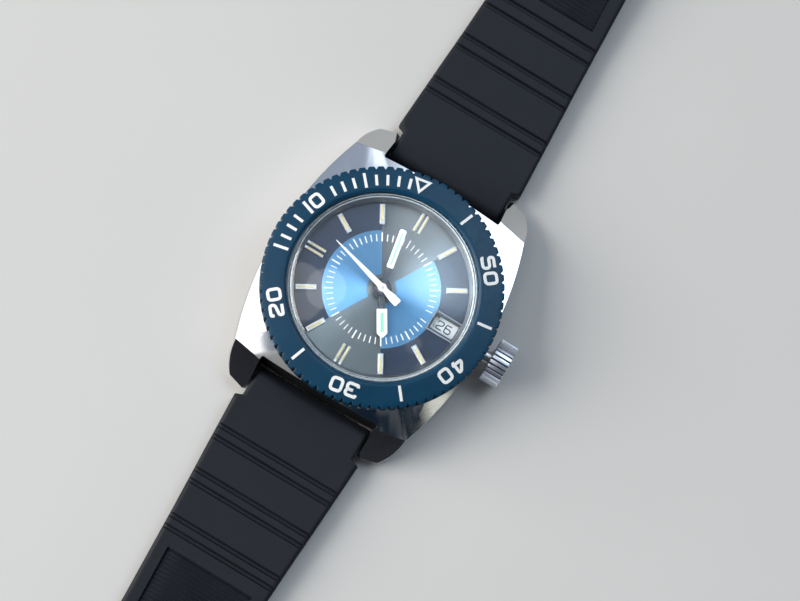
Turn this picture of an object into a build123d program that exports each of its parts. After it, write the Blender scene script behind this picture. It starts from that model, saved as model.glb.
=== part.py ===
from build123d import *
import math
import os

# A mechanical diver's wristwatch on a rubber strap, laid out flat.
# Millimetres. +X points to 3 o'clock (the crown), +Y to 12 o'clock, +Z up through the crystal.
# The origin is on the dial axis, in the outer face of the case back.

# ---- Case and bezel -------------------------------------------------------------------------
CASE_LOW, CASE_TOP = 0.5, 6.35
CASE_SIDE = 16.7                       # half width across 3 and 9 o'clock
SHOULDER = (13.9, 16.4)                # corner where the side meets the lug
LUG_INNER, LUG_TIP_Y = 9.0, 21.2       # half of the 18 mm lug gap, and the lug tips
LUG_OUTER_TIP, LUG_BULGE = (11.9, 20.5), 0.4
WALL_Y, WALL_BOW = 16.75, 0.3          # case wall between the lugs, and its bow
CONE_START, CONE_DROP = 16.9, 0.2125   # the top falls away outside the bezel
LUG_RIDGE = (9.2, 17.1)                # a point on the line where the lug facet starts
LUG_SLOPE = (0.255, 0.9)               # fall of the lug facet along X and along Y
WAIST, SIDE_TAPER, UNDER_TAPER = 1.9, 4.5, 14    # widest level, and draft above and below it
BORE = 13.2                            # cavity for the movement and the crystal
NECK, NECK_TOP = 14.2, 8.0
BACK_SEAT, BACK_SEAT_TOP = 15.3, 1.25
BACK_RIM_BORE, BACK_RIM_TOP = 14.0, 2.6
BEZEL_R, BEZEL_LOW, BEZEL_TOP = 16.9, 6.45, 9.0
BEZEL_BORE, BEZEL_LIP = 14.35, 13.28
BEZEL_NOTCHES, NOTCH_DEPTH = 80, 0.38
CRYSTAL_R, CRYSTAL_WALL, CRYSTAL_TOP = 13.15, 0.4, 11.3
DIAL_R, DIAL_LOW, DIAL_TOP = 12.9, 5.95, 6.35

# ---- Crown and keyless works ----------------------------------------------------------------
STEM_Z, STEM_R = 3.9, 0.5
CROWN_R, CROWN_START, CROWN_END, CROWN_RIDGES = 3.2, 17.85, 20.7, 28
TUBE_R, TUBE_BORE, TUBE_START, TUBE_END = 1.0, 0.6, 13.4, 18.9
STEM_END, SQUARE_END = 4.6, 8.3
GROOVE_AT, GROOVE_WIDTH = 10.6, 0.5
LEVER_PIVOT = (11.1, -2.9)

# ---- Movement levels ------------------------------------------------------------------------
MOVEMENT_R = 12.4
BRIDGE_LOW, BRIDGE_TOP = 1.3, 2.0
PLATE_LOW, PLATE_TOP, WORKS_FLOOR = 4.4, 5.5, 5.0
KEYLESS_LOW, KEYLESS_TOP = 2.08, 2.33

# ---- Gear train -----------------------------------------------------------------------------
PRESSURE = math.radians(28)
ADDENDUM, DEDENDUM, BACKLASH = 0.75, 0.95, 0.12   # in modules
BARREL_TEETH, CENTRE_LEAVES, BARREL_MODULE = 60, 10, 0.17
CENTRE_TEETH, THIRD_LEAVES, CENTRE_MODULE = 64, 8, 0.13
THIRD_TEETH, FOURTH_LEAVES = 60, 8
FOURTH_TEETH, ESCAPE_LEAVES, FOURTH_MODULE = 70, 7, 0.1157
CANNON_LEAVES, MINUTE_TEETH, CANNON_MODULE = 12, 36, 0.14
MINUTE_LEAVES, HOUR_TEETH = 10, 40
CROWN_WHEEL_TEETH, RATCHET_TEETH = 24, 42
ESCAPE_TEETH, ESCAPE_R = 15, 1.9
DATE_TEETH = 31
BARREL_ANGLE, THIRD_ANGLE, ESCAPE_ANGLE, MINUTE_ANGLE = 65, -60, -170, -25
LEVER_ANGLE, PALLET_DISTANCE, BALANCE_DISTANCE = -109, 2.5, 5.7
PIVOT_R, PIVOT_GAP = 0.1, 0.03
JEWEL_R, JEWEL_THICK = 0.42, 0.35
CLICK_ANGLE, CLICK_DISTANCE = 150, 5.6

# ---- Dial furniture and hands ---------------------------------------------------------------
MARKER_LOW, MARKER_TOP = DIAL_TOP, 6.75
MARKER_INNER, MARKER_OUTER, MARKER_WIDTH = 8.9, 11.8, 0.75
DOUBLE_INNER, DOUBLE_OUTER, DOUBLE_WIDTH, DOUBLE_GAP = 9.1, 12.0, 0.4, 0.78
WINDOW_X, WINDOW_SIZE, FRAME_SIZE = 10.0, (3.5, 2.1), (4.4, 3.1)
HOUR_ANGLE, MINUTE_HAND_ANGLE, SECOND_ANGLE = 148.9, 349.6, 285.1   # clockwise from 12
HOUR_HAND, MINUTE_HAND, SECOND_HAND = 6.8, 8.6, 9.0
HOUR_LEVEL, MINUTE_LEVEL, SECOND_LEVEL = 6.85, 7.25, 7.65
HAND_THICK = 0.18

# ---- Strap and buckle -----------------------------------------------------------------------
BAR_Y, BAR_Z, BAR_R = 18.9, 1.75, 0.75
STRAP_LOW, STRAP_THICK, STRAP_NECK = 0.03, 2.9, 17.8
STRAP_SHOULDER = 22.0
BUCKLE_Y, BUCKLE_Z, BUCKLE_R, BUCKLE_TILT = 94.0, 2.23, 0.7, 5.95
RAISED_LOW, RAISE_FROM, RAISE_TO = 1.08, 45.0, 56.0
RAISED_THICK = 2.3
TAIL_END = 134.0
HOLE_R, HOLE_PITCH, HOLE_COUNT, HOLE_FIRST = 1.1, 6.5, 8, 76.0
KEEPER_INNER, KEEPER_WALL = (17.4, 5.3), 0.95
FIXED_KEEPER_Y, SLIDING_KEEPER_Y, KEEPER_LENGTH = 84.0, 72.0, 4.0

MIN_Z = (Align.CENTER, Align.CENTER, Align.MIN)
nodes = {}


# ---- Helpers --------------------------------------------------------------------------------
def polar(radius, degrees, origin=(0, 0)):
    """The point at a distance and direction from an origin."""
    angle = math.radians(degrees)
    return (origin[0] + radius * math.cos(angle), origin[1] + radius * math.sin(angle))


def bearing(start, end):
    """Direction in degrees from one point to another."""
    return math.degrees(math.atan2(end[1] - start[1], end[0] - start[0]))


def disc(radius, low, high, at=(0, 0)):
    """A round solid from z low to z high."""
    return Pos(at[0], at[1], low) * Cylinder(radius, high - low, align=MIN_Z)


def ring(outer, inner, low, high, at=(0, 0)):
    """A flat ring."""
    return disc(outer, low, high, at) - disc(inner, low - 1, high + 1, at)


def rod_x(radius, start, end, y=0.0, z=STEM_Z):
    """A round solid lying along X."""
    return Pos(start, y, z) * Rot(0, 90, 0) * Cylinder(radius, end - start, align=MIN_Z)


def block(x, y, z):
    """A box given by its low and high corners on each axis."""
    size = (x[1] - x[0], y[1] - y[0], z[1] - z[0])
    middle = ((x[0] + x[1]) / 2, (y[0] + y[1]) / 2, (z[0] + z[1]) / 2)
    return Pos(*middle) * Box(*size)


def prism(points, low, high):
    """A polygon raised from z low to z high."""
    return Pos(0, 0, low) * extrude(make_face(Polyline(*points, close=True)), high - low)


def turned(points):
    """A ring or disc turned about Z from (radius, z) points."""
    face = make_face(Polyline(*[(r, 0, z) for r, z in points], close=True))
    return revolve(face, Axis.Z)


def link(start, end, width, low, high):
    """A bar with rounded ends between two points."""
    length = math.dist(start, end)
    bar = Pos(0, 0, low) * Box(length, width, high - low, align=(Align.MIN, Align.CENTER, Align.MIN))
    bar = Pos(start[0], start[1], 0) * Rot(0, 0, bearing(start, end)) * bar
    return bar + disc(width / 2, low, high, start) + disc(width / 2, low, high, end)


def spiral(inner, outer, turns, thickness, low, high, at=(0, 0)):
    """A flat spring wound as an Archimedean spiral."""
    steps = int(turns * 10)

    def edge(offset):
        return [polar(inner + (outer - inner) * i / steps + offset, 360 * turns * i / steps, at)
                for i in range(steps + 1)]

    inside, outside = edge(0), edge(thickness)
    outline = [Spline(*inside), Line(inside[-1], outside[-1]),
               Spline(*reversed(outside)), Line(outside[0], inside[0])]
    return Pos(0, 0, low) * extrude(make_face(outline), high - low)


def involute(angle):
    return math.tan(angle) - angle


def gear(teeth, module, low, high, at=(0, 0), phase=0.0):
    """A spur gear with one tooth centred on the phase direction, in degrees."""
    pitch = teeth * module / 2
    base = pitch * math.cos(PRESSURE)
    root = pitch - DEDENDUM * module
    tip = pitch + ADDENDUM * module
    start = max(root, base)
    half_at_pitch = (math.pi / 2 - BACKLASH) * module / (2 * pitch)

    def half_angle(radius):
        turn = math.acos(min(1.0, base / radius))
        return math.degrees(half_at_pitch + involute(PRESSURE) - involute(turn))

    flank = [(root, half_angle(start))] if root < start else []
    flank += [(r, half_angle(r)) for r in (start, (start + tip) / 2, tip)]
    points = []
    for tooth in range(teeth):
        centre = phase + 360 * tooth / teeth
        points += [polar(r, centre - half, at) for r, half in flank]
        points += [polar(r, centre + half, at) for r, half in reversed(flank)]
    return prism(points, low, high)


def crossed(wheel, radius, low, high, at, holes=5):
    """The wheel with round windows that leave spokes between them."""
    for i in range(holes):
        wheel -= disc(radius * 0.27, low - 1, high + 1, polar(radius * 0.6, 360 * i / holes, at))
    return wheel


def arbor(at, low, high, radius):
    """An arbor with a fine pivot at each end, and a little end play above the plate."""
    pivot, play = 0.35, 0.03
    return disc(radius, low + pivot, high - pivot - play, at) + disc(PIVOT_R, low, high, at)


# ---- Places in the movement -----------------------------------------------------------------
centre_at = (0, 0)
barrel_at = polar((BARREL_TEETH + CENTRE_LEAVES) * BARREL_MODULE / 2, BARREL_ANGLE)
third_distance = (CENTRE_TEETH + THIRD_LEAVES) * CENTRE_MODULE / 2
third_at = polar(third_distance, THIRD_ANGLE)
third_module = 2 * third_distance / (THIRD_TEETH + FOURTH_LEAVES)
escape_at = polar((FOURTH_TEETH + ESCAPE_LEAVES) * FOURTH_MODULE / 2, ESCAPE_ANGLE)
pallet_at = polar(PALLET_DISTANCE, LEVER_ANGLE, escape_at)
balance_at = polar(BALANCE_DISTANCE, LEVER_ANGLE, escape_at)
minute_distance = (CANNON_LEAVES + MINUTE_TEETH) * CANNON_MODULE / 2
minute_at = polar(minute_distance, MINUTE_ANGLE)
hour_module = 2 * minute_distance / (MINUTE_LEAVES + HOUR_TEETH)
crown_wheel_at = (6.6, 0)
winding_module = 2 * math.dist(crown_wheel_at, barrel_at) / (CROWN_WHEEL_TEETH + RATCHET_TEETH)
click_at = polar(CLICK_DISTANCE, CLICK_ANGLE, barrel_at)
jewelled = [third_at, centre_at, escape_at, balance_at]

foot_places = {
    "barrel_bridge": [polar(11.2, 17), polar(11.0, 121)],
    "train_bridge": [polar(11.2, -37), polar(11.2, -104)],
    "balance_cock": [polar(11.0, 184)],
}
pallet_foot = (-8.7, -2.3)
SCREW_R, SCREW_HEAD_R, SCREW_HEAD, FOOT_R = 0.35, 0.75, 0.3, 0.95


# ---- Case -----------------------------------------------------------------------------------
def case_outline():
    """The cushion-shaped outline with four lugs."""
    x, y = SHOULDER
    tip_x, tip_y = LUG_OUTER_TIP
    edges = [ThreePointArc((x, -y), (CASE_SIDE, 0), (x, y)),
             ThreePointArc((-x, y), (-CASE_SIDE, 0), (-x, -y)),
             ThreePointArc((LUG_INNER, WALL_Y), (0, WALL_Y + WALL_BOW), (-LUG_INNER, WALL_Y)),
             ThreePointArc((-LUG_INNER, -WALL_Y), (0, -WALL_Y - WALL_BOW), (LUG_INNER, -WALL_Y))]
    for sx in (1, -1):
        for sy in (1, -1):
            corner = [(x * sx, y * sy), (tip_x * sx, tip_y * sy),
                      ((LUG_INNER + 0.5) * sx, LUG_TIP_Y * sy),
                      (LUG_INNER * sx, (LUG_TIP_Y - 0.3) * sy), (LUG_INNER * sx, WALL_Y * sy)]
            side = ThreePointArc(corner[0], (((x + tip_x) / 2 + LUG_BULGE) * sx,
                                             (y + tip_y) / 2 * sy), corner[1])
            edges += [side, Polyline(*corner[1:])]
    return make_face(edges)


def case_middle():
    outline = case_outline()
    body = Pos(0, 0, WAIST) * extrude(outline, CASE_TOP - WAIST, taper=SIDE_TAPER)
    body += Pos(0, 0, WAIST) * extrude(outline, CASE_LOW - WAIST, taper=UNDER_TAPER)
    far = 40
    drop = (far - CONE_START) * CONE_DROP
    envelope = turned([(0, -1), (far, -1), (far, CASE_TOP - drop), (CONE_START, CASE_TOP), (0, CASE_TOP)])
    body &= envelope
    ridge_r = math.hypot(*LUG_RIDGE)
    ridge_z = CASE_TOP - (ridge_r - CONE_START) * CONE_DROP
    for sx in (1, -1):
        for sy in (1, -1):
            facet = Plane(origin=(LUG_RIDGE[0] * sx, LUG_RIDGE[1] * sy, ridge_z),
                          z_dir=(LUG_SLOPE[0] * sx, LUG_SLOPE[1] * sy, 1))
            body -= facet * Box(60, 60, 20, align=MIN_Z)
    body += disc(NECK, CASE_TOP - 0.5, NECK_TOP)
    body -= disc(BORE, 0, NECK_TOP + 1)
    body -= disc(BACK_SEAT, 0, BACK_SEAT_TOP)
    body -= disc(BACK_RIM_BORE, 0, BACK_RIM_TOP)
    body -= rod_x(TUBE_R + 0.01, 12, 19)
    for sy in (1, -1):
        body -= rod_x(0.5, -LUG_INNER - 1.3, LUG_INNER + 1.3, BAR_Y * sy, BAR_Z)
    return body


def case_back():
    back = disc(BACK_SEAT - 0.05, 0, BACK_SEAT_TOP - 0.03)
    back = chamfer(back.edges().group_by(Axis.Z)[0], 0.35)
    back += ring(BACK_RIM_BORE - 0.03, 13.3, BACK_SEAT_TOP - 0.03, BACK_RIM_TOP - 0.5)
    back -= disc(BORE, 0.8, 3)
    notch = block((-1.2, 1.2), (-16, -14.9), (0.25, 0.9))
    return back - notch


def case_back_gasket():
    return ring(BACK_RIM_BORE - 0.05, 13.35, BACK_RIM_TOP - 0.48, BACK_RIM_TOP - 0.02)


def dome(radius, low, shoulder, top, edge):
    """An upright wall below a spherical top, with a rounded edge between them."""
    rise = top - shoulder
    sphere_r = (radius ** 2 + rise ** 2) / (2 * rise)
    solid = disc(radius, low, top + 1) & Pos(0, 0, top - sphere_r) * Sphere(sphere_r)
    rim = solid.edges().sort_by(lambda e: e.bounding_box().size.Z + abs(e.center().Z - shoulder))[0]
    return fillet(rim, edge)


def crystal():
    low = DIAL_TOP + 0.05
    outer = dome(CRYSTAL_R, low, 9.2, CRYSTAL_TOP, 0.9)
    return outer - dome(CRYSTAL_R - CRYSTAL_WALL, low - 1, 8.8, CRYSTAL_TOP - 1.0, 0.5)


def crystal_tension_ring():
    outer = CRYSTAL_R - CRYSTAL_WALL - 0.02
    return turned([(12.35, 6.4), (outer, 6.4), (outer, 8.1), (12.6, 8.1), (12.0, 7.0), (12.0, 6.85),
                   (12.35, 6.85)])


def crown_tube():
    return rod_x(TUBE_R, TUBE_START, TUBE_END) - rod_x(TUBE_BORE, TUBE_START - 1, TUBE_END + 1)


def bezel():
    """A ring whose edge has a coin pattern of V notches."""
    points = []
    for i in range(BEZEL_NOTCHES):
        middle = 360 * (i + 0.5) / BEZEL_NOTCHES
        points += [polar(BEZEL_R, middle - 0.95), polar(BEZEL_R - NOTCH_DEPTH, middle),
                   polar(BEZEL_R, middle + 0.95), polar(BEZEL_R + 0.05, middle + 2.25)]
    section = turned([(16.35, BEZEL_LOW), (BEZEL_R + 0.05, 6.85), (BEZEL_R + 0.05, 8.3),
                      (16.75, 8.48), (13.85, BEZEL_TOP), (BEZEL_LIP, 8.75), (BEZEL_LIP, 8.15),
                      (BEZEL_BORE, 8.1), (BEZEL_BORE, 6.95), (16.1, 6.95), (16.1, BEZEL_LOW)])
    return section & prism(points, BEZEL_LOW - 1, BEZEL_TOP + 1)


def bezel_click_spring():
    """A flat open spring ring with two raised tongues, in the recess below the bezel."""
    low = CASE_TOP + 0.03
    spring = ring(15.8, 14.9, low, low + 0.2)
    spring -= block((13, 17), (-1.2, 1.2), (low - 1, low + 1))
    for degrees in (90, 210, 330):
        tongue = block((14.95, 15.75), (-0.9, 0.9), (low + 0.2, low + 0.42))
        spring += Rot(0, 0, degrees) * tongue
    return spring


# ---- Dial, date and hands -------------------------------------------------------------------
def date_window(size, low, high):
    return block((WINDOW_X - size[0] / 2, WINDOW_X + size[0] / 2), (-size[1] / 2, size[1] / 2), (low, high))


def dial():
    return ring(DIAL_R, 1.05, DIAL_LOW, DIAL_TOP) - date_window(WINDOW_SIZE, 5, 7)


def hour_markers():
    """Applied batons: doubles at 12, 6 and 9, singles at the others, none at 3."""
    markers = []
    for hour in range(1, 13):
        if hour == 3:
            continue
        turn = Rot(0, 0, 90 - 30 * hour)
        if hour % 3 == 0:
            for side in (-1, 1):
                y = side * DOUBLE_GAP / 2
                bar = block((DOUBLE_INNER, DOUBLE_OUTER), (y - DOUBLE_WIDTH / 2, y + DOUBLE_WIDTH / 2),
                            (MARKER_LOW, MARKER_TOP))
                markers.append(turn * bar)
        else:
            half = MARKER_WIDTH / 2
            markers.append(turn * block((MARKER_INNER, MARKER_OUTER), (-half, half), (MARKER_LOW, MARKER_TOP)))
    return Compound(children=markers)


def date_window_frame():
    return date_window(FRAME_SIZE, DIAL_TOP, 6.72) - date_window(WINDOW_SIZE, 5, 7)


def date_ring():
    """A ring for the numbers 1 to 31, with one inner tooth for each."""
    inner = []
    for i in range(DATE_TEETH):
        middle = 360 * i / DATE_TEETH
        inner += [polar(8.9, middle - 4.0), polar(8.45, middle - 1.0), polar(8.45, middle + 1.0),
                  polar(8.9, middle + 4.0)]
    return disc(11.9, 5.55, 5.8) - prism(inner, 5, 6)


def hand(length, width, tip_width, clock_degrees, level, hole, hub, tail=0.0, tip=0.9):
    """A baton hand lying over the dial, pointing at a clock angle."""
    half, end = width / 2, tip_width / 2
    outline = [(-tail, -half), (length - tip, -half), (length, -end), (length, end),
               (length - tip, half), (-tail, half)]
    blade = prism(outline, 0, HAND_THICK) + disc(hub, 0, HAND_THICK)
    blade -= disc(hole, -1, 1)
    return Pos(0, 0, level) * Rot(0, 0, 90 - clock_degrees) * blade


def hour_hand():
    return hand(HOUR_HAND, 1.45, 0.3, HOUR_ANGLE, HOUR_LEVEL, 0.95, 1.35, tip=1.0)


def minute_hand():
    return hand(MINUTE_HAND, 1.0, 0.5, MINUTE_HAND_ANGLE, MINUTE_LEVEL, 0.68, 1.05)


def second_hand():
    needle = hand(SECOND_HAND, 0.62, 0.1, SECOND_ANGLE, SECOND_LEVEL, 0.18, 0.5, tail=3.1, tip=8.4)
    tail = block((-3.1, -1.1), (-0.55, 0.55), (0, HAND_THICK))
    return needle + Pos(0, 0, SECOND_LEVEL) * Rot(0, 0, 90 - SECOND_ANGLE) * tail


# ---- Movement: plate, bridges and fixed pieces ----------------------------------------------
def movement_holder():
    holder = ring(13.15, 12.45, 0.85, 5.9)
    return holder - rod_x(1.2, 10, 14) - ring(14, 13.0, 0, BACK_RIM_TOP)


def screw_holes(places):
    return [disc(SCREW_R + 0.02, BRIDGE_LOW - 1, PLATE_LOW + 0.7, place) for place in places]


def pivot_holes(low, high):
    """Bearing holes of the plate, for the train's lower pivots."""
    holes = [disc(PIVOT_R + PIVOT_GAP, low, high, at) for at in (third_at, escape_at, pallet_at, balance_at)]
    return holes + [disc(0.5, low, high), disc(0.75, low, high, barrel_at)]


def main_plate():
    plate = disc(MOVEMENT_R, PLATE_LOW, PLATE_TOP) - disc(6.4, WORKS_FLOOR, PLATE_TOP + 1)
    plate -= block((6.2, 9.9), (-1.45, 1.45), (PLATE_LOW - 1, 5.3))
    plate -= block((4.3, 6.3), (-0.6, 0.6), (PLATE_LOW - 1, 4.7))
    plate -= rod_x(STEM_R + 0.08, 9, 13)
    for hole in pivot_holes(PLATE_LOW - 1, PLATE_TOP + 1):
        plate -= hole
    for places in foot_places.values():
        for hole in screw_holes(places):
            plate -= hole
    for hole in screw_holes([pallet_foot]):
        plate -= hole
    plate += disc(0.3, WORKS_FLOOR - 0.3, 5.72, minute_at)
    return plate + disc(0.35, 3.65, PLATE_LOW + 0.3, LEVER_PIVOT)


def bridge(outline, feet, low=BRIDGE_LOW, high=BRIDGE_TOP):
    """A bridge plate with feet that stand on the main plate."""
    plate = prism(outline, low, high) & disc(12.2, low, high)
    for foot in feet:
        plate += disc(FOOT_R, high - 0.1, PLATE_LOW, foot)
    for hole in screw_holes(feet):
        plate -= hole
    return plate


def barrel_bridge():
    outline = [(-12.5, 3.4), (-2.2, 3.4), (-0.4, 1.2), (3.6, 1.2), (3.6, -2.7), (12.5, -2.7),
               (12.5, 12.5), (-12.5, 12.5)]
    plate = bridge(outline, foot_places["barrel_bridge"])
    plate -= disc(0.85, 0, 3, barrel_at)
    plate += disc(0.9, BRIDGE_TOP - 0.1, KEYLESS_TOP + 0.05, crown_wheel_at)
    return plate + disc(0.27, BRIDGE_TOP - 0.1, KEYLESS_TOP + 0.05, click_at)


def train_bridge():
    outline = [(3.3, -3.0), (3.3, 0.9), (-1.2, 0.9), (-5.6, 0.5), (-5.8, -1.9), (-2.6, -2.6),
               (-4.6, -12.5), (12.5, -12.5), (12.5, -3.0)]
    plate = bridge(outline, foot_places["train_bridge"])
    for at in (third_at, centre_at, escape_at):
        plate -= disc(JEWEL_R + 0.01, 0, 3, at)
    return plate


def balance_cock():
    outline = [(-12.4, -3.4), (-12.4, 0.6), (-9.3, 0.6), (-5.2, -5.0), (-5.0, -6.6), (-6.2, -7.7),
               (-7.9, -7.0)]
    return bridge(outline, foot_places["balance_cock"]) - disc(JEWEL_R + 0.01, 0, 3, balance_at)


def pallet_bridge():
    low, high = 3.05, 3.35
    arm = link(pallet_foot, pallet_at, 1.4, low, high) + disc(0.7, low, PLATE_LOW, pallet_foot)
    arm -= disc(PIVOT_R + PIVOT_GAP, 0, 4, pallet_at)
    return arm - screw_holes([pallet_foot])[0]


def jewels():
    """Ruby bearings pressed into the bridges."""
    bearings = [ring(JEWEL_R, PIVOT_R + PIVOT_GAP, BRIDGE_TOP - JEWEL_THICK, BRIDGE_TOP, at) for at in jewelled]
    return Compound(children=bearings)


def slotted_screw(at, head_low):
    head = disc(SCREW_HEAD_R, head_low, head_low + SCREW_HEAD, at)
    head -= Pos(at[0], at[1], head_low) * Rot(0, 0, 35) * Box(3, 0.18, 0.24)
    return head + disc(SCREW_R, head_low + SCREW_HEAD - 0.05, PLATE_LOW + 0.6, at)


def bridge_screws():
    screws = [slotted_screw(at, BRIDGE_LOW - SCREW_HEAD) for places in foot_places.values() for at in places]
    screws.append(slotted_screw(pallet_foot, 2.75))
    return Compound(children=screws)


def hairspring():
    return spiral(0.75, 1.9, 6, 0.05, 2.2, 2.35, balance_at)


# ---- Movement: going train ------------------------------------------------------------------
def barrel():
    mesh_angle = bearing(barrel_at, centre_at)
    drum = gear(BARREL_TEETH, BARREL_MODULE, 3.95, 4.3, barrel_at, mesh_angle)
    drum += disc(4.7, 3.3, 4.0, barrel_at)
    return drum - disc(4.4, 3.5, 4.12, barrel_at) - disc(0.75, 3, 5, barrel_at)


def mainspring():
    return spiral(1.4, 4.15, 8, 0.12, 3.55, 4.08, barrel_at)


def barrel_arbor():
    stem = disc(0.7, BRIDGE_LOW - 0.1, 5.2, barrel_at) + disc(1.15, 3.55, 4.08, barrel_at)
    return stem + disc(0.8, BRIDGE_LOW - 0.1, KEYLESS_TOP, barrel_at)


def ratchet_wheel():
    phase = bearing(barrel_at, crown_wheel_at) + 180 / RATCHET_TEETH
    wheel = gear(RATCHET_TEETH, winding_module, KEYLESS_LOW, KEYLESS_TOP, barrel_at, phase)
    return wheel - disc(0.81, 1, 3, barrel_at)


def crown_wheel():
    """Spur teeth for the ratchet wheel below face teeth for the winding pinion."""
    phase = bearing(crown_wheel_at, barrel_at)
    wheel = gear(CROWN_WHEEL_TEETH, winding_module, KEYLESS_LOW, KEYLESS_TOP, crown_wheel_at, phase)
    for i in range(CROWN_WHEEL_TEETH):
        tooth = block((1.75, 2.2), (-0.13, 0.13), (KEYLESS_TOP - 0.05, KEYLESS_TOP + 0.2))
        wheel += Pos(*crown_wheel_at, 0) * Rot(0, 0, 360 * i / CROWN_WHEEL_TEETH) * tooth
    return wheel - disc(0.95, 1, 4, crown_wheel_at)


def click():
    """The pawl that stops the ratchet wheel from turning back."""
    beak = polar(4.56, CLICK_ANGLE - 16, barrel_at)
    heel = polar(5.35, CLICK_ANGLE - 14, barrel_at)
    toe = polar(5.0, CLICK_ANGLE - 2, barrel_at)
    body = prism([beak, heel, polar(6.1, CLICK_ANGLE, barrel_at), toe], KEYLESS_LOW, KEYLESS_TOP)
    body += disc(0.6, KEYLESS_LOW, KEYLESS_TOP, click_at)
    return body - disc(0.3, 1, 3, click_at)


def centre_wheel():
    wheel_low, wheel_high = 3.05, 3.17
    wheel = gear(CENTRE_TEETH, CENTRE_MODULE, wheel_low, wheel_high, centre_at, THIRD_ANGLE)
    wheel = crossed(wheel, 4.0, wheel_low, wheel_high, centre_at)
    pinion_phase = BARREL_ANGLE + 180 / CENTRE_LEAVES
    wheel += gear(CENTRE_LEAVES, BARREL_MODULE, 3.15, 4.3, centre_at, pinion_phase)
    wheel += disc(0.45, 4.25, 6.7)
    return wheel - disc(0.24, 2, 8)


def third_wheel():
    low, high = 2.72, 2.84
    wheel = gear(THIRD_TEETH, third_module, low, high, third_at, THIRD_ANGLE + 180)
    wheel = crossed(wheel, 3.9, low, high, third_at)
    phase = THIRD_ANGLE + 180 + 180 / THIRD_LEAVES
    wheel += gear(THIRD_LEAVES, CENTRE_MODULE, 2.8, 3.6, third_at, phase)
    return wheel + arbor(third_at, 1.7, 4.75, 0.22)


def fourth_wheel():
    low, high = 2.42, 2.54
    wheel = gear(FOURTH_TEETH, FOURTH_MODULE, low, high, centre_at, ESCAPE_ANGLE)
    wheel = crossed(wheel, 3.9, low, high, centre_at)
    phase = THIRD_ANGLE + 180 / FOURTH_LEAVES
    wheel += gear(FOURTH_LEAVES, third_module, 2.5, 2.98, centre_at, phase)
    wheel += disc(PIVOT_R, 1.7, 2.5)
    return wheel + disc(0.18, 2.1, SECOND_LEVEL + HAND_THICK - 0.02)


def escape_wheel():
    low, high = 3.5, 3.64
    points = []
    for i in range(ESCAPE_TEETH):
        start = 360 * i / ESCAPE_TEETH
        points += [polar(1.35, start - 3, escape_at), polar(ESCAPE_R - 0.12, start + 3, escape_at),
                   polar(ESCAPE_R, start + 7, escape_at), polar(1.35, start + 8, escape_at)]
    wheel = crossed(prism(points, low, high), 1.35, low, high, escape_at, 4)
    phase = ESCAPE_ANGLE + 180 + 180 / ESCAPE_LEAVES
    wheel += gear(ESCAPE_LEAVES, FOURTH_MODULE, 2.3, 2.68, escape_at, phase)
    return wheel + arbor(escape_at, 1.7, 4.75, 0.12)


def pallet_fork():
    low, high = 3.5, 3.64
    fork_tip = polar(0.9, LEVER_ANGLE + 180, balance_at)
    lever = link(pallet_at, fork_tip, 0.26, low, high)
    turn = Pos(*fork_tip, 0) * Rot(0, 0, LEVER_ANGLE)
    lever += turn * block((-0.45, 0.05), (-0.34, 0.34), (low, high))
    lever -= turn * block((-0.22, 0.3), (-0.14, 0.14), (low - 1, high + 1))
    for side in (-1, 1):
        stone_angle = LEVER_ANGLE + side * 38
        arm_end = polar(2.7, stone_angle, escape_at)
        lever += link(pallet_at, arm_end, 0.36, low, high)
        stone = block((2.1, 2.65), (-0.11, 0.11), (low - 0.06, high + 0.06))
        lever += Pos(*escape_at, 0) * Rot(0, 0, stone_angle) * stone
    return lever + arbor(pallet_at, 3.1, 4.75, 0.16)


def balance_wheel():
    low, high = 2.7, 2.95
    wheel = ring(3.3, 2.85, low, high, balance_at)
    for degrees in (30, 150, 270):
        wheel += Pos(*balance_at, 0) * Rot(0, 0, degrees) * block((0, 3.0), (-0.17, 0.17), (low, high))
    wheel += disc(0.5, low, high, balance_at) + disc(0.42, 3.42, 3.75, balance_at)
    wheel += disc(0.62, 3.7, 3.85, balance_at)
    return wheel + arbor(balance_at, 1.7, 4.75, 0.2)


# ---- Motion works ---------------------------------------------------------------------------
def cannon_pinion():
    pinion = gear(CANNON_LEAVES, CANNON_MODULE, 5.03, 5.38, centre_at, MINUTE_ANGLE)
    return pinion + disc(0.68, 5.3, MINUTE_LEVEL + HAND_THICK) - disc(0.5, 4, 9)


def minute_wheel():
    phase = MINUTE_ANGLE + 180 + 180 / MINUTE_TEETH
    wheel = gear(MINUTE_TEETH, CANNON_MODULE, 5.08, 5.28, minute_at, phase)
    wheel += gear(MINUTE_LEAVES, hour_module, 5.2, 5.72, minute_at, MINUTE_ANGLE + 180)
    return wheel - disc(0.33, 4, 7, minute_at)


def hour_wheel():
    phase = MINUTE_ANGLE + 180 / HOUR_TEETH
    wheel = gear(HOUR_TEETH, hour_module, 5.5, 5.68, centre_at, phase)
    return wheel + disc(0.95, 5.6, HOUR_LEVEL + HAND_THICK) - disc(0.74, 4, 9)


# ---- Crown and keyless works ----------------------------------------------------------------
def crown():
    """A deeply ridged crown with a bevelled rim and a hollow for its gasket."""
    points = []
    step = 360 / CROWN_RIDGES
    for i in range(CROWN_RIDGES):
        middle = i * step
        points += [polar(CROWN_R, middle - step * 0.26), polar(CROWN_R, middle + step * 0.26),
                   polar(CROWN_R - 0.38, middle + step * 0.42), polar(CROWN_R - 0.38, middle + step * 0.58)]
    length = CROWN_END - CROWN_START
    section = turned([(0, 0), (2.75, 0), (CROWN_R + 0.1, 0.3), (CROWN_R + 0.1, length - 0.4),
                      (2.7, length - 0.1), (0, length)])
    knob = section & prism(points, 0, length)
    knob -= disc(1.45, -1, TUBE_END - CROWN_START + 0.15)
    knob -= disc(STEM_R + 0.01, -1, 1.9)
    return Pos(CROWN_START, 0, STEM_Z) * Rot(0, 90, 0) * knob


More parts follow.
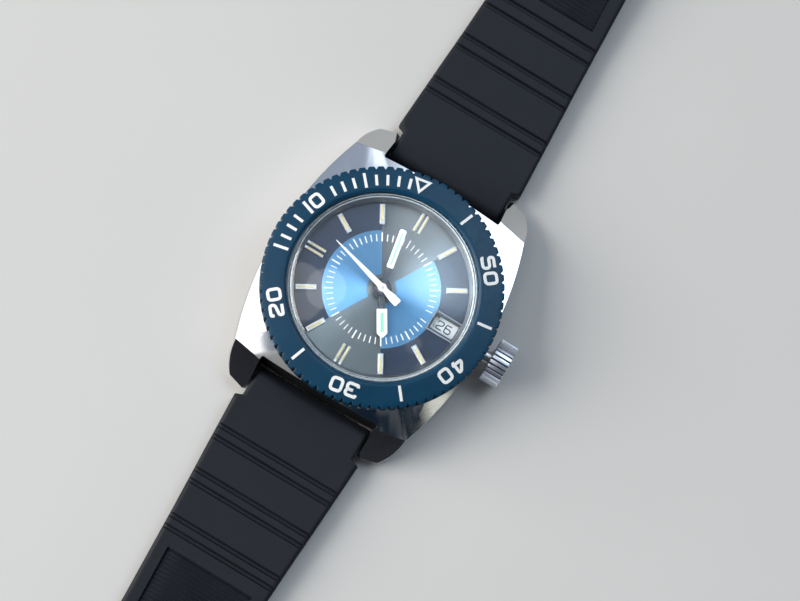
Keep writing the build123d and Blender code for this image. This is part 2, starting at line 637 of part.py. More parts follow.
def crown_gasket():
    return rod_x(1.44, 18.1, 18.6) - rod_x(TUBE_R + 0.03, 17, 20)


def winding_stem():
    """The round stem with a square for the sliding pinion and a groove for the setting lever."""
    stem = rod_x(STEM_R, SQUARE_END, CROWN_START + 1.85)
    stem -= rod_x(1, GROOVE_AT - GROOVE_WIDTH / 2, GROOVE_AT + GROOVE_WIDTH / 2) - rod_x(0.28, 9, 12)
    stem += block((5.4, SQUARE_END + 0.1), (-0.33, 0.33), (STEM_Z - 0.33, STEM_Z + 0.33))
    return stem + rod_x(0.28, STEM_END, 5.5)


def face_teeth(radius, start, end, count=12):
    """Pinion teeth cut round a short drum along X."""
    points = []
    step = 360 / count
    for i in range(count):
        points += [polar(radius, (i - 0.2) * step), polar(radius, (i + 0.2) * step),
                   polar(radius - 0.3, (i + 0.35) * step), polar(radius - 0.3, (i + 0.65) * step)]
    return Pos(start, 0, STEM_Z) * Rot(0, 90, 0) * prism(points, 0, end - start)


def winding_pinion():
    return face_teeth(1.3, 8.45, 9.7) - rod_x(STEM_R + 0.04, 8, 10)


def sliding_pinion():
    pinion = face_teeth(1.0, 7.05, 7.5) + rod_x(0.62, 7.4, 7.9) + face_teeth(1.0, 7.8, 8.2)
    return pinion - block((6, 9), (-0.37, 0.37), (STEM_Z - 0.37, STEM_Z + 0.37))


def setting_lever():
    """The lever whose tip sits in the stem's groove."""
    tip = (GROOVE_AT, -0.47)
    low, high = STEM_Z - 0.15, STEM_Z + 0.15
    lever = link(LEVER_PIVOT, tip, 0.3, low, high) + disc(0.65, low, high, LEVER_PIVOT)
    return lever - disc(0.38, 3, 5, LEVER_PIVOT)


# ---- Strap and buckle -----------------------------------------------------------------------
def spring_bar(sign):
    bar = rod_x(BAR_R, -LUG_INNER + 0.15, LUG_INNER - 0.15, BAR_Y * sign, BAR_Z)
    return bar + rod_x(0.45, -LUG_INNER - 0.9, LUG_INNER + 0.9, BAR_Y * sign, BAR_Z)


def strap_width_cut(stations):
    """A solid of the strap's plan, from (y, half width) stations."""
    right = [(half, y) for y, half in stations]
    left = [(-half, y) for y, half in reversed(stations)]
    return prism(right + left, -5, 12)


def strap_profile(points, width):
    """A side profile of (y, z) points, as wide as given, centred on X."""
    face = make_face(Polyline(*[(0, y, z) for y, z in points], close=True))
    return extrude(face, width / 2, dir=(1, 0, 0), both=True)


def strap_eye(y, z, radius, width):
    return rod_x(radius, -width / 2, width / 2, y, z)


def strap_12():
    top = STRAP_LOW + STRAP_THICK
    raised_top = RAISED_LOW + RAISED_THICK
    profile = [(BAR_Y, STRAP_LOW), (RAISE_FROM, STRAP_LOW), (RAISE_TO, RAISED_LOW), (BUCKLE_Y, RAISED_LOW),
               (BUCKLE_Y, raised_top), (RAISE_TO, raised_top), (RAISE_FROM, top), (BAR_Y, BAR_Z + 1.5)]
    body = strap_profile(profile, 24)
    body += strap_eye(BAR_Y, BAR_Z, 1.55, STRAP_NECK)
    body += strap_eye(BUCKLE_Y, BUCKLE_Z, 1.2, 24)
    half = STRAP_NECK / 2
    body &= strap_width_cut([(15, half), (STRAP_SHOULDER, half), (STRAP_SHOULDER + 0.01, 9.95), (30, 9.55),
                             (40, 9.0), (RAISE_TO, 8.3), (98, 7.9)])
    body -= rod_x(BAR_R + 0.05, -12, 12, BAR_Y, BAR_Z)
    body -= rod_x(BUCKLE_R + 0.05, -12, 12, BUCKLE_Y, BUCKLE_Z)
    return body - block((-1.4, 1.4), (BUCKLE_Y - 2.4, BUCKLE_Y + 4), (0, 6))


def strap_6():
    top = STRAP_LOW + STRAP_THICK
    profile = [(-BAR_Y, STRAP_LOW), (-TAIL_END, STRAP_LOW), (-TAIL_END, top - 0.7), (-RAISE_TO, top - 0.4),
               (-42, top), (-BAR_Y, BAR_Z + 1.5)]
    body = strap_profile(profile, 24)
    body += strap_eye(-BAR_Y, BAR_Z, 1.55, STRAP_NECK)
    half = STRAP_NECK / 2
    body &= strap_width_cut([(-TAIL_END, 2.2), (-TAIL_END + 1.2, 5.2), (-TAIL_END + 4.5, 7.3),
                             (-TAIL_END + 9, 7.9), (-RAISE_TO, 8.3), (-40, 9.0), (-30, 9.55),
                             (-STRAP_SHOULDER - 0.01, 9.95), (-STRAP_SHOULDER, half), (-15, half)])
    body -= rod_x(BAR_R + 0.05, -12, 12, -BAR_Y, BAR_Z)
    for i in range(HOLE_COUNT):
        body -= disc(HOLE_R, -1, 5, (0, -HOLE_FIRST - i * HOLE_PITCH))
    return body


def keeper(y):
    """A rubber loop round the strap with room for the tail."""
    low = RAISED_LOW - 0.1
    half, wall = KEEPER_INNER[0] / 2, KEEPER_WALL
    high = low + KEEPER_INNER[1]
    span = (y - KEEPER_LENGTH / 2, y + KEEPER_LENGTH / 2)
    outer = block((-half - wall, half + wall), span, (low - wall, high + wall))
    outer = fillet(outer.edges().filter_by(Axis.Y), 0.9)
    return outer - block((-half, half), (span[0] - 1, span[1] + 1), (low, high))


def buckle_bar():
    return rod_x(BUCKLE_R, -9.0, 9.0, BUCKLE_Y, BUCKLE_Z)


def buckle_tilted(shape):
    """The shape turned down about the bar, so that the buckle's front rests on the table."""
    return Pos(0, BUCKLE_Y, BUCKLE_Z) * Rot(-BUCKLE_TILT, 0, 0) * Pos(0, -BUCKLE_Y, -BUCKLE_Z) * shape


def buckle_frame():
    """A steel loop with two ears that turn on the bar."""
    low, high = BUCKLE_Z - 1.0, BUCKLE_Z + 1.0
    front = BUCKLE_Y + 11.5
    outline = [(-10.0, BUCKLE_Y - 0.6), (-10.6, BUCKLE_Y + 5), (-10.2, front - 1.2), (-8.8, front),
               (8.8, front), (10.2, front - 1.2), (10.6, BUCKLE_Y + 5), (10.0, BUCKLE_Y - 0.6)]
    frame = prism(outline, low, high) - block((-8.3, 8.3), (BUCKLE_Y - 3, front - 2.0), (low - 1, high + 1))
    frame += rod_x(1.15, -10.0, -8.35, BUCKLE_Y, BUCKLE_Z) + rod_x(1.15, 8.35, 10.0, BUCKLE_Y, BUCKLE_Z)
    frame -= rod_x(BUCKLE_R + 0.04, -9.1, 9.1, BUCKLE_Y, BUCKLE_Z)
    return buckle_tilted(frame - block((-0.95, 0.95), (front - 3, front + 1), (high - 0.45, high + 1)))


def buckle_tongue():
    """A pin that loops round the bar and rests in the frame's notch."""
    tip = BUCKLE_Y + 11.2
    base = BUCKLE_Z + 0.62
    tongue = rod_x(1.3, -1.1, 1.1, BUCKLE_Y, BUCKLE_Z)
    blade = block((-0.8, 0.8), (BUCKLE_Y, tip), (base, base + 0.65))
    return buckle_tilted(tongue + blade - rod_x(BUCKLE_R + 0.04, -3, 3, BUCKLE_Y, BUCKLE_Z))


# ---- Export ---------------------------------------------------------------------------------
makers = [case_middle, case_back, case_back_gasket, crystal, crystal_tension_ring, crown_tube, bezel,
          bezel_click_spring, dial, hour_markers, date_window_frame, date_ring, hour_hand, minute_hand,
          second_hand, movement_holder, main_plate, barrel_bridge, train_bridge, balance_cock,
          pallet_bridge, jewels, bridge_screws, hairspring, barrel, mainspring, barrel_arbor,
          ratchet_wheel, crown_wheel, click, centre_wheel, third_wheel, fourth_wheel, escape_wheel,
          pallet_fork, balance_wheel, cannon_pinion, minute_wheel, hour_wheel, crown, crown_gasket,
          winding_stem, winding_pinion, sliding_pinion, setting_lever, strap_12, strap_6, buckle_bar,
          buckle_frame, buckle_tongue]
for maker in makers:
    nodes[maker.__name__] = maker()
nodes["spring_bar_12"] = spring_bar(1)
nodes["spring_bar_6"] = spring_bar(-1)
nodes["fixed_keeper"] = keeper(FIXED_KEEPER_Y)
nodes["sliding_keeper"] = keeper(SLIDING_KEEPER_Y)

os.makedirs("parts", exist_ok=True)
for name, shape in nodes.items():
    export_step(shape, f"parts/{name}.step")
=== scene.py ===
import math

import bmesh
import bpy
from mathutils import Matrix, Vector


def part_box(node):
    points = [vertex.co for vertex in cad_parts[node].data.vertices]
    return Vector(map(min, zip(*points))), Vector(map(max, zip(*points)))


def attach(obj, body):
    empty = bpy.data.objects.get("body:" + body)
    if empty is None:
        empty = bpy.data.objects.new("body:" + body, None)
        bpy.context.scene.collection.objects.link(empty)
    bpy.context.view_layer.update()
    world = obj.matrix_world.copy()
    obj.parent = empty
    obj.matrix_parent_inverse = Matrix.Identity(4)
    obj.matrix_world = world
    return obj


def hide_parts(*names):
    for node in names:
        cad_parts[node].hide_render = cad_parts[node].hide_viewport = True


# A diver's wristwatch laid out flat, seen from above. Lengths are millimetres unless a name says otherwise.
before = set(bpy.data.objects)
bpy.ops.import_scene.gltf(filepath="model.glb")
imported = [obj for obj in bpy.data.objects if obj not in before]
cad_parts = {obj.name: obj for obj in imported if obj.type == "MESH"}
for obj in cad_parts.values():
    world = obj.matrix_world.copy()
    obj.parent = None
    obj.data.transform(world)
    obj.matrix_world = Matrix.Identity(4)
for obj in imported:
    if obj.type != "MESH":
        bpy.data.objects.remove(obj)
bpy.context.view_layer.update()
MM = 0.001
scene = bpy.context.scene


def placed(name, data):
    """A new object in the scene."""
    made = bpy.data.objects.new(name, data)
    scene.collection.objects.link(made)
    return made


# ---- Camera ----
AZIMUTH, ELEVATION, ROLL = 2.6, 79.25, 31.19
DISTANCE, AIM = 450.0, (2.95, 1.22)
LENS = 36 * 3208 / 800  # sensor width times focal length, over the image's width


def camera_axes():
    """Right, up and back directions of the camera."""
    azimuth, elevation, roll = (math.radians(a) for a in (AZIMUTH, ELEVATION, ROLL))
    back = Vector((math.sin(azimuth) * math.cos(elevation), -math.cos(azimuth) * math.cos(elevation),
                   math.sin(elevation)))
    level = Vector((0, 1, 0)).cross(back).normalized()
    upright = back.cross(level)
    right = math.cos(roll) * level + math.sin(roll) * upright
    up = math.cos(roll) * upright - math.sin(roll) * level
    return right, up, back


def from_image(degrees_off, direction, distance):
    """A place that far from the watch, off the camera's axis towards a direction on the picture."""
    right, up, back = camera_axes()
    off, way = math.radians(degrees_off), math.radians(direction)
    sideways = math.cos(way) * right + math.sin(way) * up
    return (back * math.cos(off) + sideways * math.sin(off)) * distance


def make_camera():
    """A long lens, nearly overhead, rolled with the picture."""
    right, up, back = camera_axes()
    camera = placed("camera", bpy.data.cameras.new("camera"))
    camera.data.lens = LENS
    camera.data.clip_start = 0.01
    camera.data.clip_end = 20
    camera.location = (Vector((*AIM, 0)) + back * DISTANCE) * MM
    camera.rotation_euler = Matrix((right, up, back)).transposed().to_euler()
    scene.camera = camera


make_camera()


# ---- Mesh helpers ----
def polar(radius, degrees):
    """A point on the plane, counterclockwise from +X."""
    angle = math.radians(degrees)
    return (radius * math.cos(angle), radius * math.sin(angle))


def facing(across, up, origin, level_at):
    """A mapping from (u, v, height) on two directions, from an origin, to a level that the radius sets."""
    across, up = Vector(polar(1, across)), Vector(polar(1, up))

    def place(u, v, height):
        flat = across * (origin[0] + u) + up * (origin[1] + v)
        return (flat.x, flat.y, level_at(flat.length) + height)
    return place


def bar(start, end, half, middle=0.0):
    """Corners of a rectangle from a start to an end, as wide to both sides of its middle."""
    return [(start, middle - half), (end, middle - half), (end, middle + half), (start, middle + half)]


def rectangle(half_x, half_y, x=0.0, y=0.0):
    return bar(x - half_x, x + half_x, half_y, y)


def at_height(outline, z):
    return [(x, y, z) for x, y in outline]


def span(node):
    """Lowest and highest corner of a CAD node."""
    low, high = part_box(node)
    return low / MM, high / MM


def rounded(points, radius, closed=False, steps=5):
    """The outline with each corner eased into a curve."""
    eased = []
    count = len(points)
    for i, point in enumerate(points):
        if not closed and i in (0, count - 1):
            eased.append(tuple(point))
            continue
        here, before, after = Vector(point), Vector(points[i - 1]), Vector(points[(i + 1) % count])
        back, ahead = before - here, after - here
        reach = min(radius, back.length * 0.48, ahead.length * 0.48)
        start, end = here + back.normalized() * reach, here + ahead.normalized() * reach
        for k in range(steps + 1):
            t = k / steps
            eased.append(tuple(start * (1 - t) ** 2 + here * 2 * t * (1 - t) + end * t ** 2))
    return eased


def stroke_edges(path, width, closed=False):
    """Left and right edge points of a stroke along a plane path."""
    edges = []
    count = len(path)
    for i in range(count):
        here = Vector(path[i])
        before = Vector(path[i - 1]) if i or closed else None
        after = Vector(path[(i + 1) % count]) if i < count - 1 or closed else None
        inward = (here - before).normalized() if before else (after - here).normalized()
        outward = (after - here).normalized() if after else inward
        along = (inward + outward).normalized()
        normal = Vector((-along.y, along.x))
        reach = width / 2 / max(0.5, along.dot(inward))
        edges.append((here + normal * reach, here - normal * reach))
    return edges


class Shape:
    """A mesh being built, in millimetres."""

    def __init__(self, rings=(), **how):
        self.points, self.faces, self.paints = [], [], []
        if rings:
            self.loft(rings, **how)

    def face(self, indices, paint):
        """Adds a face, painted with a material's number."""
        self.faces.append(indices)
        self.paints.append(paint)

    def patch(self, corners, paint):
        """Adds a face with corners of its own."""
        start = len(self.points)
        self.points += corners
        self.face(tuple(range(start, start + len(corners))), paint)

    def loft(self, rings, wrap=False, caps=True, paint=0, open_ring=False):
        """Joins rings of points, each to the next; wrap joins the last to the first."""
        start, size = len(self.points), len(rings[0])
        for one in rings:
            self.points += [tuple(p) for p in one]
        for i in range(len(rings) if wrap else len(rings) - 1):
            here, there = start + i * size, start + (i + 1) % len(rings) * size
            for k in range(size - 1 if open_ring else size):
                m = (k + 1) % size
                self.face((here + k, here + m, there + m, there + k), paint)
        if caps and not wrap:
            self.face(tuple(start + k for k in reversed(range(size))), paint)
            self.face(tuple(start + (len(rings) - 1) * size + k for k in range(size)), paint)

    def stroke(self, path, width, place, high, low=-0.02, closed=False, paint=0):
        """A flat stroke along a plane path; place(u, v, height) gives each point."""
        rings = []
        ease = min(width, high - low) * 0.25
        for left, right in stroke_edges(path, width, closed):
            inner_left, inner_right = left.lerp(right, ease / width), right.lerp(left, ease / width)
            rings.append([place(*left, low), place(*left, high - ease), place(*inner_left, high),
                          place(*inner_right, high), place(*right, high - ease), place(*right, low)])
        self.loft(rings, wrap=closed, paint=paint)

    def slab(self, outline, low, high, place, edge=0.03, paint=0):
        """A flat plate with eased top edges; place(u, v, height) gives each point."""
        middle = sum((Vector(p) for p in outline), Vector((0, 0))) / len(outline)
        inset = []
        for left, right in stroke_edges(outline, 2 * edge, closed=True):
            inset.append(min((left, right), key=lambda p: (p - middle).length))
        levels = ((outline, low), (outline, high - edge), (inset, high))
        self.loft([[place(*p, z) for p in points] for points, z in levels], paint=paint)

    def build(self, name, materials, body, slot, replaces=(), sharp=32):
        """The shape as a finished piece."""
        piece = loose(self, name, True)
        for material in materials:
            piece.data.materials.append(material)
        return settle(piece, body, replaces, sharp)


def clean(mesh, merge, flatten=0.0, degenerate=False):
    """Merges doubled points, joins flat faces or drops empty ones, and turns the faces outward."""
    work = bmesh.new()
    work.from_mesh(mesh)
    bmesh.ops.remove_doubles(work, verts=work.verts, dist=merge)
    if flatten:
        bmesh.ops.dissolve_limit(work, angle_limit=math.radians(flatten), verts=work.verts, edges=work.edges)
    if degenerate:
        bmesh.ops.dissolve_degenerate(work, edges=work.edges, dist=1e-8)
    bmesh.ops.recalc_face_normals(work, faces=work.faces)
    work.to_mesh(mesh)
    work.free()


def loose(shape, name, cleaned=False):
    """An object of the shape that no body carries yet."""
    mesh = bpy.data.meshes.new(name)
    mesh.from_pydata([[c * MM for c in p] for p in shape.points], [], shape.faces)
    mesh.polygons.foreach_set("material_index", shape.paints)
    clean(mesh, 1e-7, degenerate=cleaned)
    return placed(name, mesh)


def shade(piece, sharp):
    """Smooth shading, but for edges sharper than so many degrees."""
    piece.data.shade_smooth()
    piece.data.set_sharp_from_angle(angle=math.radians(sharp))


def settle(piece, body, replaces=(), sharp=32):
    """Smooth shading, its body and the CAD nodes that it stands for."""
    shade(piece, sharp)
    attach(piece, body)
    if replaces:
        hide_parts(*replaces)
    return piece


def turned_rings(profile, steps):
    """Rings of a (radius, z) outline turned about Z."""
    return [[(*polar(r, 360 * i / steps), z) for r, z in profile] for i in range(steps)]


def turned(profile, steps, second=()):
    """A body turned about Z, whose faces at the places in second take the second material."""
    shape = Shape(turned_rings(profile, steps), wrap=True)
    shape.paints = [int(i % len(profile) in second) for i in range(len(shape.faces))]
    return shape


def modify(piece, kind, **settings):
    """Applies a modifier to the piece."""
    modifier = piece.modifiers.new(kind, kind)
    for key, value in settings.items():
        setattr(modifier, key, value)
    graph = bpy.context.evaluated_depsgraph_get()
    mesh = bpy.data.meshes.new_from_object(piece.evaluated_get(graph))
    piece.modifiers.clear()
    piece.data = mesh


EASED_FROM = 28  # degrees between two faces whose edge gets eased


def refined(node, name, body, materials, width, paint=None, segments=2, sharp=38):
    """A copy of a CAD node with edges eased over a width, which stands for it."""
    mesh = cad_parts[node].data.copy()
    piece = placed(name, mesh)
    mesh.materials.clear()
    for material in materials:
        mesh.materials.append(material)
    mesh.polygons.foreach_set("material_index", [0] * len(mesh.polygons))
    clean(mesh, 2e-7, flatten=0.4)
    if mesh.attributes.get("custom_normal"):
        mesh.attributes.remove(mesh.attributes["custom_normal"])
    modify(piece, "BEVEL", width=width * MM, segments=segments, limit_method="ANGLE",
           angle_limit=math.radians(EASED_FROM), miter_outer="MITER_ARC")
    if paint:
        for face in piece.data.polygons:
            face.material_index = paint(face.center / MM, face.normal)
    shade(piece, sharp)
    modify(piece, "WEIGHTED_NORMAL", weight=100, keep_sharp=True)
    return settle(piece, body, [node], sharp)


# ---- Materials ----
class Graph:
    """The nodes of a material or of the world, made in few words."""

    def __init__(self, owner, shader="Principled BSDF"):
        owner.use_nodes = True
        self.owner, self.tree = owner, owner.node_tree
        self.shader = self.tree.nodes[shader]

    def node(self, kind, inputs=None, **settings):
        made = self.tree.nodes.new("ShaderNode" + kind)
        for key, value in settings.items():
            setattr(made, key, value)
        self.fill(made, inputs or {})
        return made

    def fill(self, node, inputs):
        for key, value in inputs.items():
            if isinstance(value, bpy.types.NodeSocket):
                self.tree.links.new(value, node.inputs[key])
            else:
                node.inputs[key].default_value = value

    def math(self, operation, *values):
        return self.node("Math", dict(enumerate(values)), operation=operation).outputs[0]

    def coordinates(self, stretch=(1, 1, 1), turned=False):
        """Millimetre coordinates. Turned ones are (radius, angle, height) about Z."""
        place = self.node("TexCoord").outputs["Object"]
        if not turned:
            scale = [s / MM for s in stretch]
            return self.node("Mapping", {"Vector": place, "Scale": scale}).outputs[0]
        x, y, z = self.node("SeparateXYZ", {0: place}).outputs
        square = self.math("ADD", self.math("MULTIPLY", x, x), self.math("MULTIPLY", y, y))
        radius = self.math("MULTIPLY", self.math("SQRT", square), stretch[0] / MM)
        angle = self.math("MULTIPLY", self.math("ARCTAN2", y, x), stretch[1])
        height = self.math("MULTIPLY", z, stretch[2] / MM)
        return self.node("CombineXYZ", {0: radius, 1: angle, 2: height}).outputs[0]

    def noise(self, place, size, detail=3.0):
        """Noise with features of about that size in millimetres."""
        return self.node("TexNoise", {"Vector": place, "Scale": 1 / size, "Detail": detail}).outputs["Fac"]

    def ranged(self, value, low, high, start=0.3, end=0.7):
        """The value's range from start to end, spread over low to high."""
        inputs = {"Value": value, "From Min": start, "From Max": end, "To Min": low, "To Max": high}
        return self.node("MapRange", inputs).outputs["Result"]

    def between(self, share, first, second):
        """A colour that far from the first to the second."""
        first, second = (c if isinstance(c, bpy.types.NodeSocket) else (*c, 1) for c in (first, second))
        mix = self.node("Mix", {"Factor": share}, data_type="RGBA")
        self.fill(mix, {6: first, 7: second})
        return mix.outputs[2]

    def relief(self, height, strength):
        bump = self.node("Bump", {"Height": height, "Strength": strength, "Distance": RELIEF_DEPTH})
        return bump.outputs[0]


def new_material(name):
    return Graph(bpy.data.materials.new(name))


RELIEF_DEPTH = 2e-5  # metres


def surface(name, colour, roughness, metallic=0.0, tint=(0.05, 2), grain=(0.05, 0.1), bump=(0.1, 0.05),
            stretch=(1, 1, 1), turned=False, round_grain=False, fixed=None):
    """A procedural finish: cloudy colour, uneven roughness and a fine relief.

    Tint, grain and bump are each how strong it is and how large its features are, in millimetres.
    """
    graph = new_material(name)
    (tint, tint_size), (spread, grain_size), (strength, bump_size) = tint, grain, bump
    cloud = graph.noise(graph.coordinates(), tint_size, 4)
    place = graph.coordinates(stretch, turned)
    uneven = graph.noise(place, grain_size)
    relief = graph.noise(place, bump_size, 2)
    darker, lighter = ([min(1, c * (1 + sign * tint)) for c in colour] for sign in (-1, 1))
    graph.fill(graph.shader, {
        "Base Color": graph.between(graph.ranged(cloud, 0, 1), darker, lighter),
        "Roughness": graph.ranged(uneven, max(0.02, roughness - spread), roughness + spread),
        "Metallic": metallic, "Normal": graph.relief(relief, strength), **(fixed or {})})
    if round_grain:
        about_z = graph.node("Tangent", direction_type="RADIAL", axis="Z").outputs[0]
        graph.fill(graph.shader, {"Tangent": about_z})
    return graph.owner


def acrylic():
    """Clear acrylic that lets the lights through to what lies below."""
    graph = new_material("crystal_acrylic")
    scratches = graph.noise(graph.coordinates((1, 0.2, 1)), 0.5, 5)
    graph.fill(graph.shader, {
        "Base Color": (0.98, 0.99, 0.99, 1), "IOR": 1.49, "Transmission Weight": 1.0,
        "Roughness": graph.ranged(scratches, 0.0, 0.03, 0.5, 0.8)})
    clear = graph.node("BsdfTransparent", {"Color": (0.95, 0.97, 0.97, 1)})
    shadow = graph.node("LightPath").outputs["Is Shadow Ray"]
    mix = graph.node("MixShader", {0: shadow, 1: graph.shader.outputs[0], 2: clear.outputs[0]})
    graph.fill(graph.tree.nodes["Material Output"], {"Surface": mix.outputs[0]})
    return graph.owner


# Steel
steel_top = surface("steel_top", (0.62, 0.63, 0.64), 0.11, 1.0, (0.03, 6), (0.025, 0.06), (0.07, 0.035),
                    (1, 0.6, 1), True, True, {"Anisotropic": 0.25})
steel_bright = surface("steel_bright", (0.60, 0.61, 0.62), 0.09, 1.0, (0.03, 5), (0.03, 0.5), (0.02, 0.3))
steel_plain = surface("steel_plain", (0.50, 0.51, 0.52), 0.32, 1.0, (0.06, 3), (0.08, 0.1), (0.2, 0.05))
# Near-black steel: painted shade for the lug gap walls, the spring bars and the crown's groove floors.
steel_painted_shade = surface("steel_painted_shade", (0.05, 0.05, 0.055), 0.5, 1.0, (0.1, 2), (0.08, 0.2), (0.2, 0.05))
steel_back = surface("steel_back", (0.56, 0.57, 0.58), 0.28, 1.0, (0.05, 4), (0.08, 0.08), (0.5, 0.05),
                     (1, 0.4, 1), True)
steel_crown = surface("steel_crown", (0.80, 0.84, 0.92), 0.36, 1.0, grain=(0.04, 0.08), bump=(0.15, 0.05),
                      stretch=(1, 1, 0.3))
steel_blued = surface("steel_blued", (0.06, 0.10, 0.30), 0.25, 1.0, (0.2, 1))

# Movement and case fittings
gilt = surface("gilt", (0.75, 0.52, 0.22), 0.28, 1.0, (0.06, 2), (0.08, 0.06), (0.3, 0.04))
nickel = surface("nickel", (0.62, 0.60, 0.55), 0.3, 1.0, grain=(0.08, 0.3), bump=(0.5, 0.06),
                 stretch=(1, 0.05, 1))
ruby = surface("ruby", (0.45, 0.01, 0.05), 0.08, 0.0, (0.1, 0.3), (0.02, 0.1), (0.02, 0.1),
               fixed={"Transmission Weight": 0.4, "IOR": 1.76})
plastic = surface("holder_plastic", (0.55, 0.53, 0.47), 0.45, grain=(0.08, 0.2), bump=(0.2, 0.1))
gasket = surface("gasket_rubber", (0.02, 0.02, 0.022), 0.5, 0.0, (0.1, 1), (0.08, 0.2), (0.2, 0.1))

# Paint, print and luminous filling
lacquer = surface("bezel_lacquer", (0.0004, 0.038, 0.082), 0.40, 0.0, (0.10, 4), (0.06, 0.6), (0.08, 0.12),
                  fixed={"Specular IOR Level": 0.28})
white_paint = surface("white_paint", (0.86, 0.86, 0.83), 0.38, 0.0, (0.04, 0.5), (0.06, 0.1), (0.25, 0.05))
hand_paint = surface("hand_paint", (0.92, 0.92, 0.90), 0.3, 0.0, (0.02, 0.8), bump=(0.1, 0.08),
                     fixed={"Coat Weight": 0.3})
lume_yellow = surface("lume_yellow", (0.62, 0.53, 0.26), 0.7, 0.0, (0.08, 0.4), bump=(0.3, 0.04))
lume_green = surface("lume_green", (0.28, 0.62, 0.45), 0.7, 0.0, (0.12, 0.25), bump=(0.6, 0.04))
date_card = surface("date_card", (0.62, 0.65, 0.68), 0.5, 0.0, (0.02, 1), bump=(0.05, 0.1))
date_ink = surface("date_ink", (0.02, 0.024, 0.03), 0.4, 0.0, (0.1, 0.3), bump=(0.05, 0.1))

# Dial: round brushing catches the light in rays
RAYS = {"stretch": (0.02, 60, 1), "turned": True, "round_grain": True,
        "fixed": {"Anisotropic": 0.9, "Anisotropic Rotation": 0.25}}
dial_blue = surface("dial_blue", (0.155, 0.37, 0.62), 0.32, 0.7, bump=(0.1, 0.03), **RAYS)
dial_silver = surface("dial_silver", (0.21, 0.24, 0.25), 0.31, 0.85, grain=(0.03, 0.1), bump=(0.06, 0.03),
                      **RAYS)
dial_dark = surface("dial_dark", (0.012, 0.024, 0.052), 0.38, 0.0, (0.12, 2), bump=(0.04, 0.03))
dial_back = surface("dial_back", (0.55, 0.50, 0.38), 0.35, 1.0, bump=(0.2, 0.05))

# Bright metal over the dial, and the crystal
marker_silver = surface("marker_silver", (0.80, 0.81, 0.84), 0.3, 0.85, (0.03, 0.5), bump=(0.05, 0.1))
# The hands' polished steel arms and bosses are coloured dark: a painted reflection of dark surroundings.
hand_arm_painted_reflection = surface("hand_arm_painted_reflection", (0.17, 0.18, 0.20), 0.22, 0.9, (0.08, 0.5))
frame_silver = surface("frame_silver", (0.62, 0.66, 0.70), 0.22, 1.0, (0.03, 0.5), bump=(0.08, 0.1))
frame_step = surface("frame_step", (0.16, 0.18, 0.20), 0.3, 0.8, (0.06, 0.5), bump=(0.08, 0.1))
# The slope's dark colour is painted shadow: the shade that the ring and crystal wall cast over the dial's
# edge.
rehaut, rehaut_painted_shadow = (
    surface(name, colour, roughness, 0.8, stretch=(1, 0.3, 1), turned=True)
    for name, colour, roughness in (("tension_ring", (0.66, 0.70, 0.71), 0.32),
                                    ("tension_ring_slope_painted_shadow", (0.15, 0.17, 0.19), 0.30)))
crystal_glass = acrylic()
crystal_edge = surface("crystal_ground_edge", (0.76, 0.80, 0.84), 0.5, 0.0, (0.05, 1))


def rubber_material():
    """Moulded rubber: a fine matte skin, faint flow marks and a little dust in the pores."""
    graph = new_material("strap_rubber")
    place = graph.coordinates()
    cloud = graph.noise(place, 5, 5)
    dust = graph.noise(place, 0.18, 2)
    skin = graph.noise(place, 0.07, 3)
    base = graph.between(graph.ranged(cloud, 0, 1), (0.0030, 0.0046, 0.0080), (0.0055, 0.0078, 0.0125))
    graph.fill(graph.shader, {
        "Base Color": graph.between(graph.ranged(dust, 0, 0.12, 0.66, 0.8), base, (0.16, 0.17, 0.18)),
        "Roughness": graph.ranged(cloud, 0.5, 0.62), "Specular IOR Level": 0.31,
        "Sheen Weight": 0.025, "Sheen Roughness": 0.45, "Normal": graph.relief(skin, 0.35)})
    return graph.owner


rubber = rubber_material()


# ---- Figures ----
# Each figure is one or more strokes in a unit cell; a closed stroke repeats its first point.
FIGURES = {
    "0": [[(0, 0), (1, 0), (1, 1), (0, 1), (0, 0)]],
    "1": [[(0.5, 0), (0.5, 1)]],
    "2": [[(0, 0.72), (0, 1), (1, 1), (1, 0.58), (0, 0.30), (0, 0), (1, 0)]],
    "3": [[(0, 0.80), (0, 1), (1, 1), (1, 0.52), (0.35, 0.52)],
          [(0.35, 0.52), (1, 0.52), (1, 0), (0, 0), (0, 0.2)]],
    "4": [[(0.74, 0), (0.74, 1), (0.5, 1), (0, 0.42), (0, 0.27), (1, 0.27)]],
    "5": [[(1, 1), (0, 1), (0, 0.58), (1, 0.58), (1, 0), (0, 0), (0, 0.16)]],
    "6": [[(0.92, 1), (0, 1), (0, 0), (1, 0), (1, 0.56), (0, 0.56)]],
    "7": [[(0, 1), (1, 1), (0.35, 0)]],
    "8": [[(0, 0), (1, 0), (1, 1), (0, 1), (0, 0)], [(0, 0.52), (1, 0.52)]],
    "9": [[(0.08, 0), (1, 0), (1, 1), (0, 1), (0, 0.44), (1, 0.44)]],
}


def write(shape, text, cell, stroke, gap, place, high):
    """Figures side by side, centred on the origin of place's plane. Cell is a figure's outer size."""
    width, height = cell
    advance = [width * 0.32 if c == "1" else width for c in text]
    left = -(sum(advance) + gap * (len(text) - 1)) / 2
    for figure, step in zip(text, advance):
        for line in FIGURES[figure]:
            closed = line[0] == line[-1]
            points = []
            for u, v in line[:-1] if closed else line:
                x = left + stroke / 2 + u * (step - stroke)
                points.append((x, -height / 2 + stroke / 2 + v * (height - stroke)))
            if figure == "1":
                points = [(x, y + stroke / 2 * sign) for (x, y), sign in zip(points, (-1, 1))]
            path = rounded(points, width * 0.26, closed)
            shape.stroke(path, stroke, place, high, closed=closed)
        left += step + gap


# ---- Case ----
CONE_NORMAL = (0.97, 0.99)  # upward share of the normal on the brushed cone
CONE_LOW = 3.0
LUG_INSIDE, LUG_ROOT = 9.1, 15.9  # the gap for the strap is within the first and beyond the second


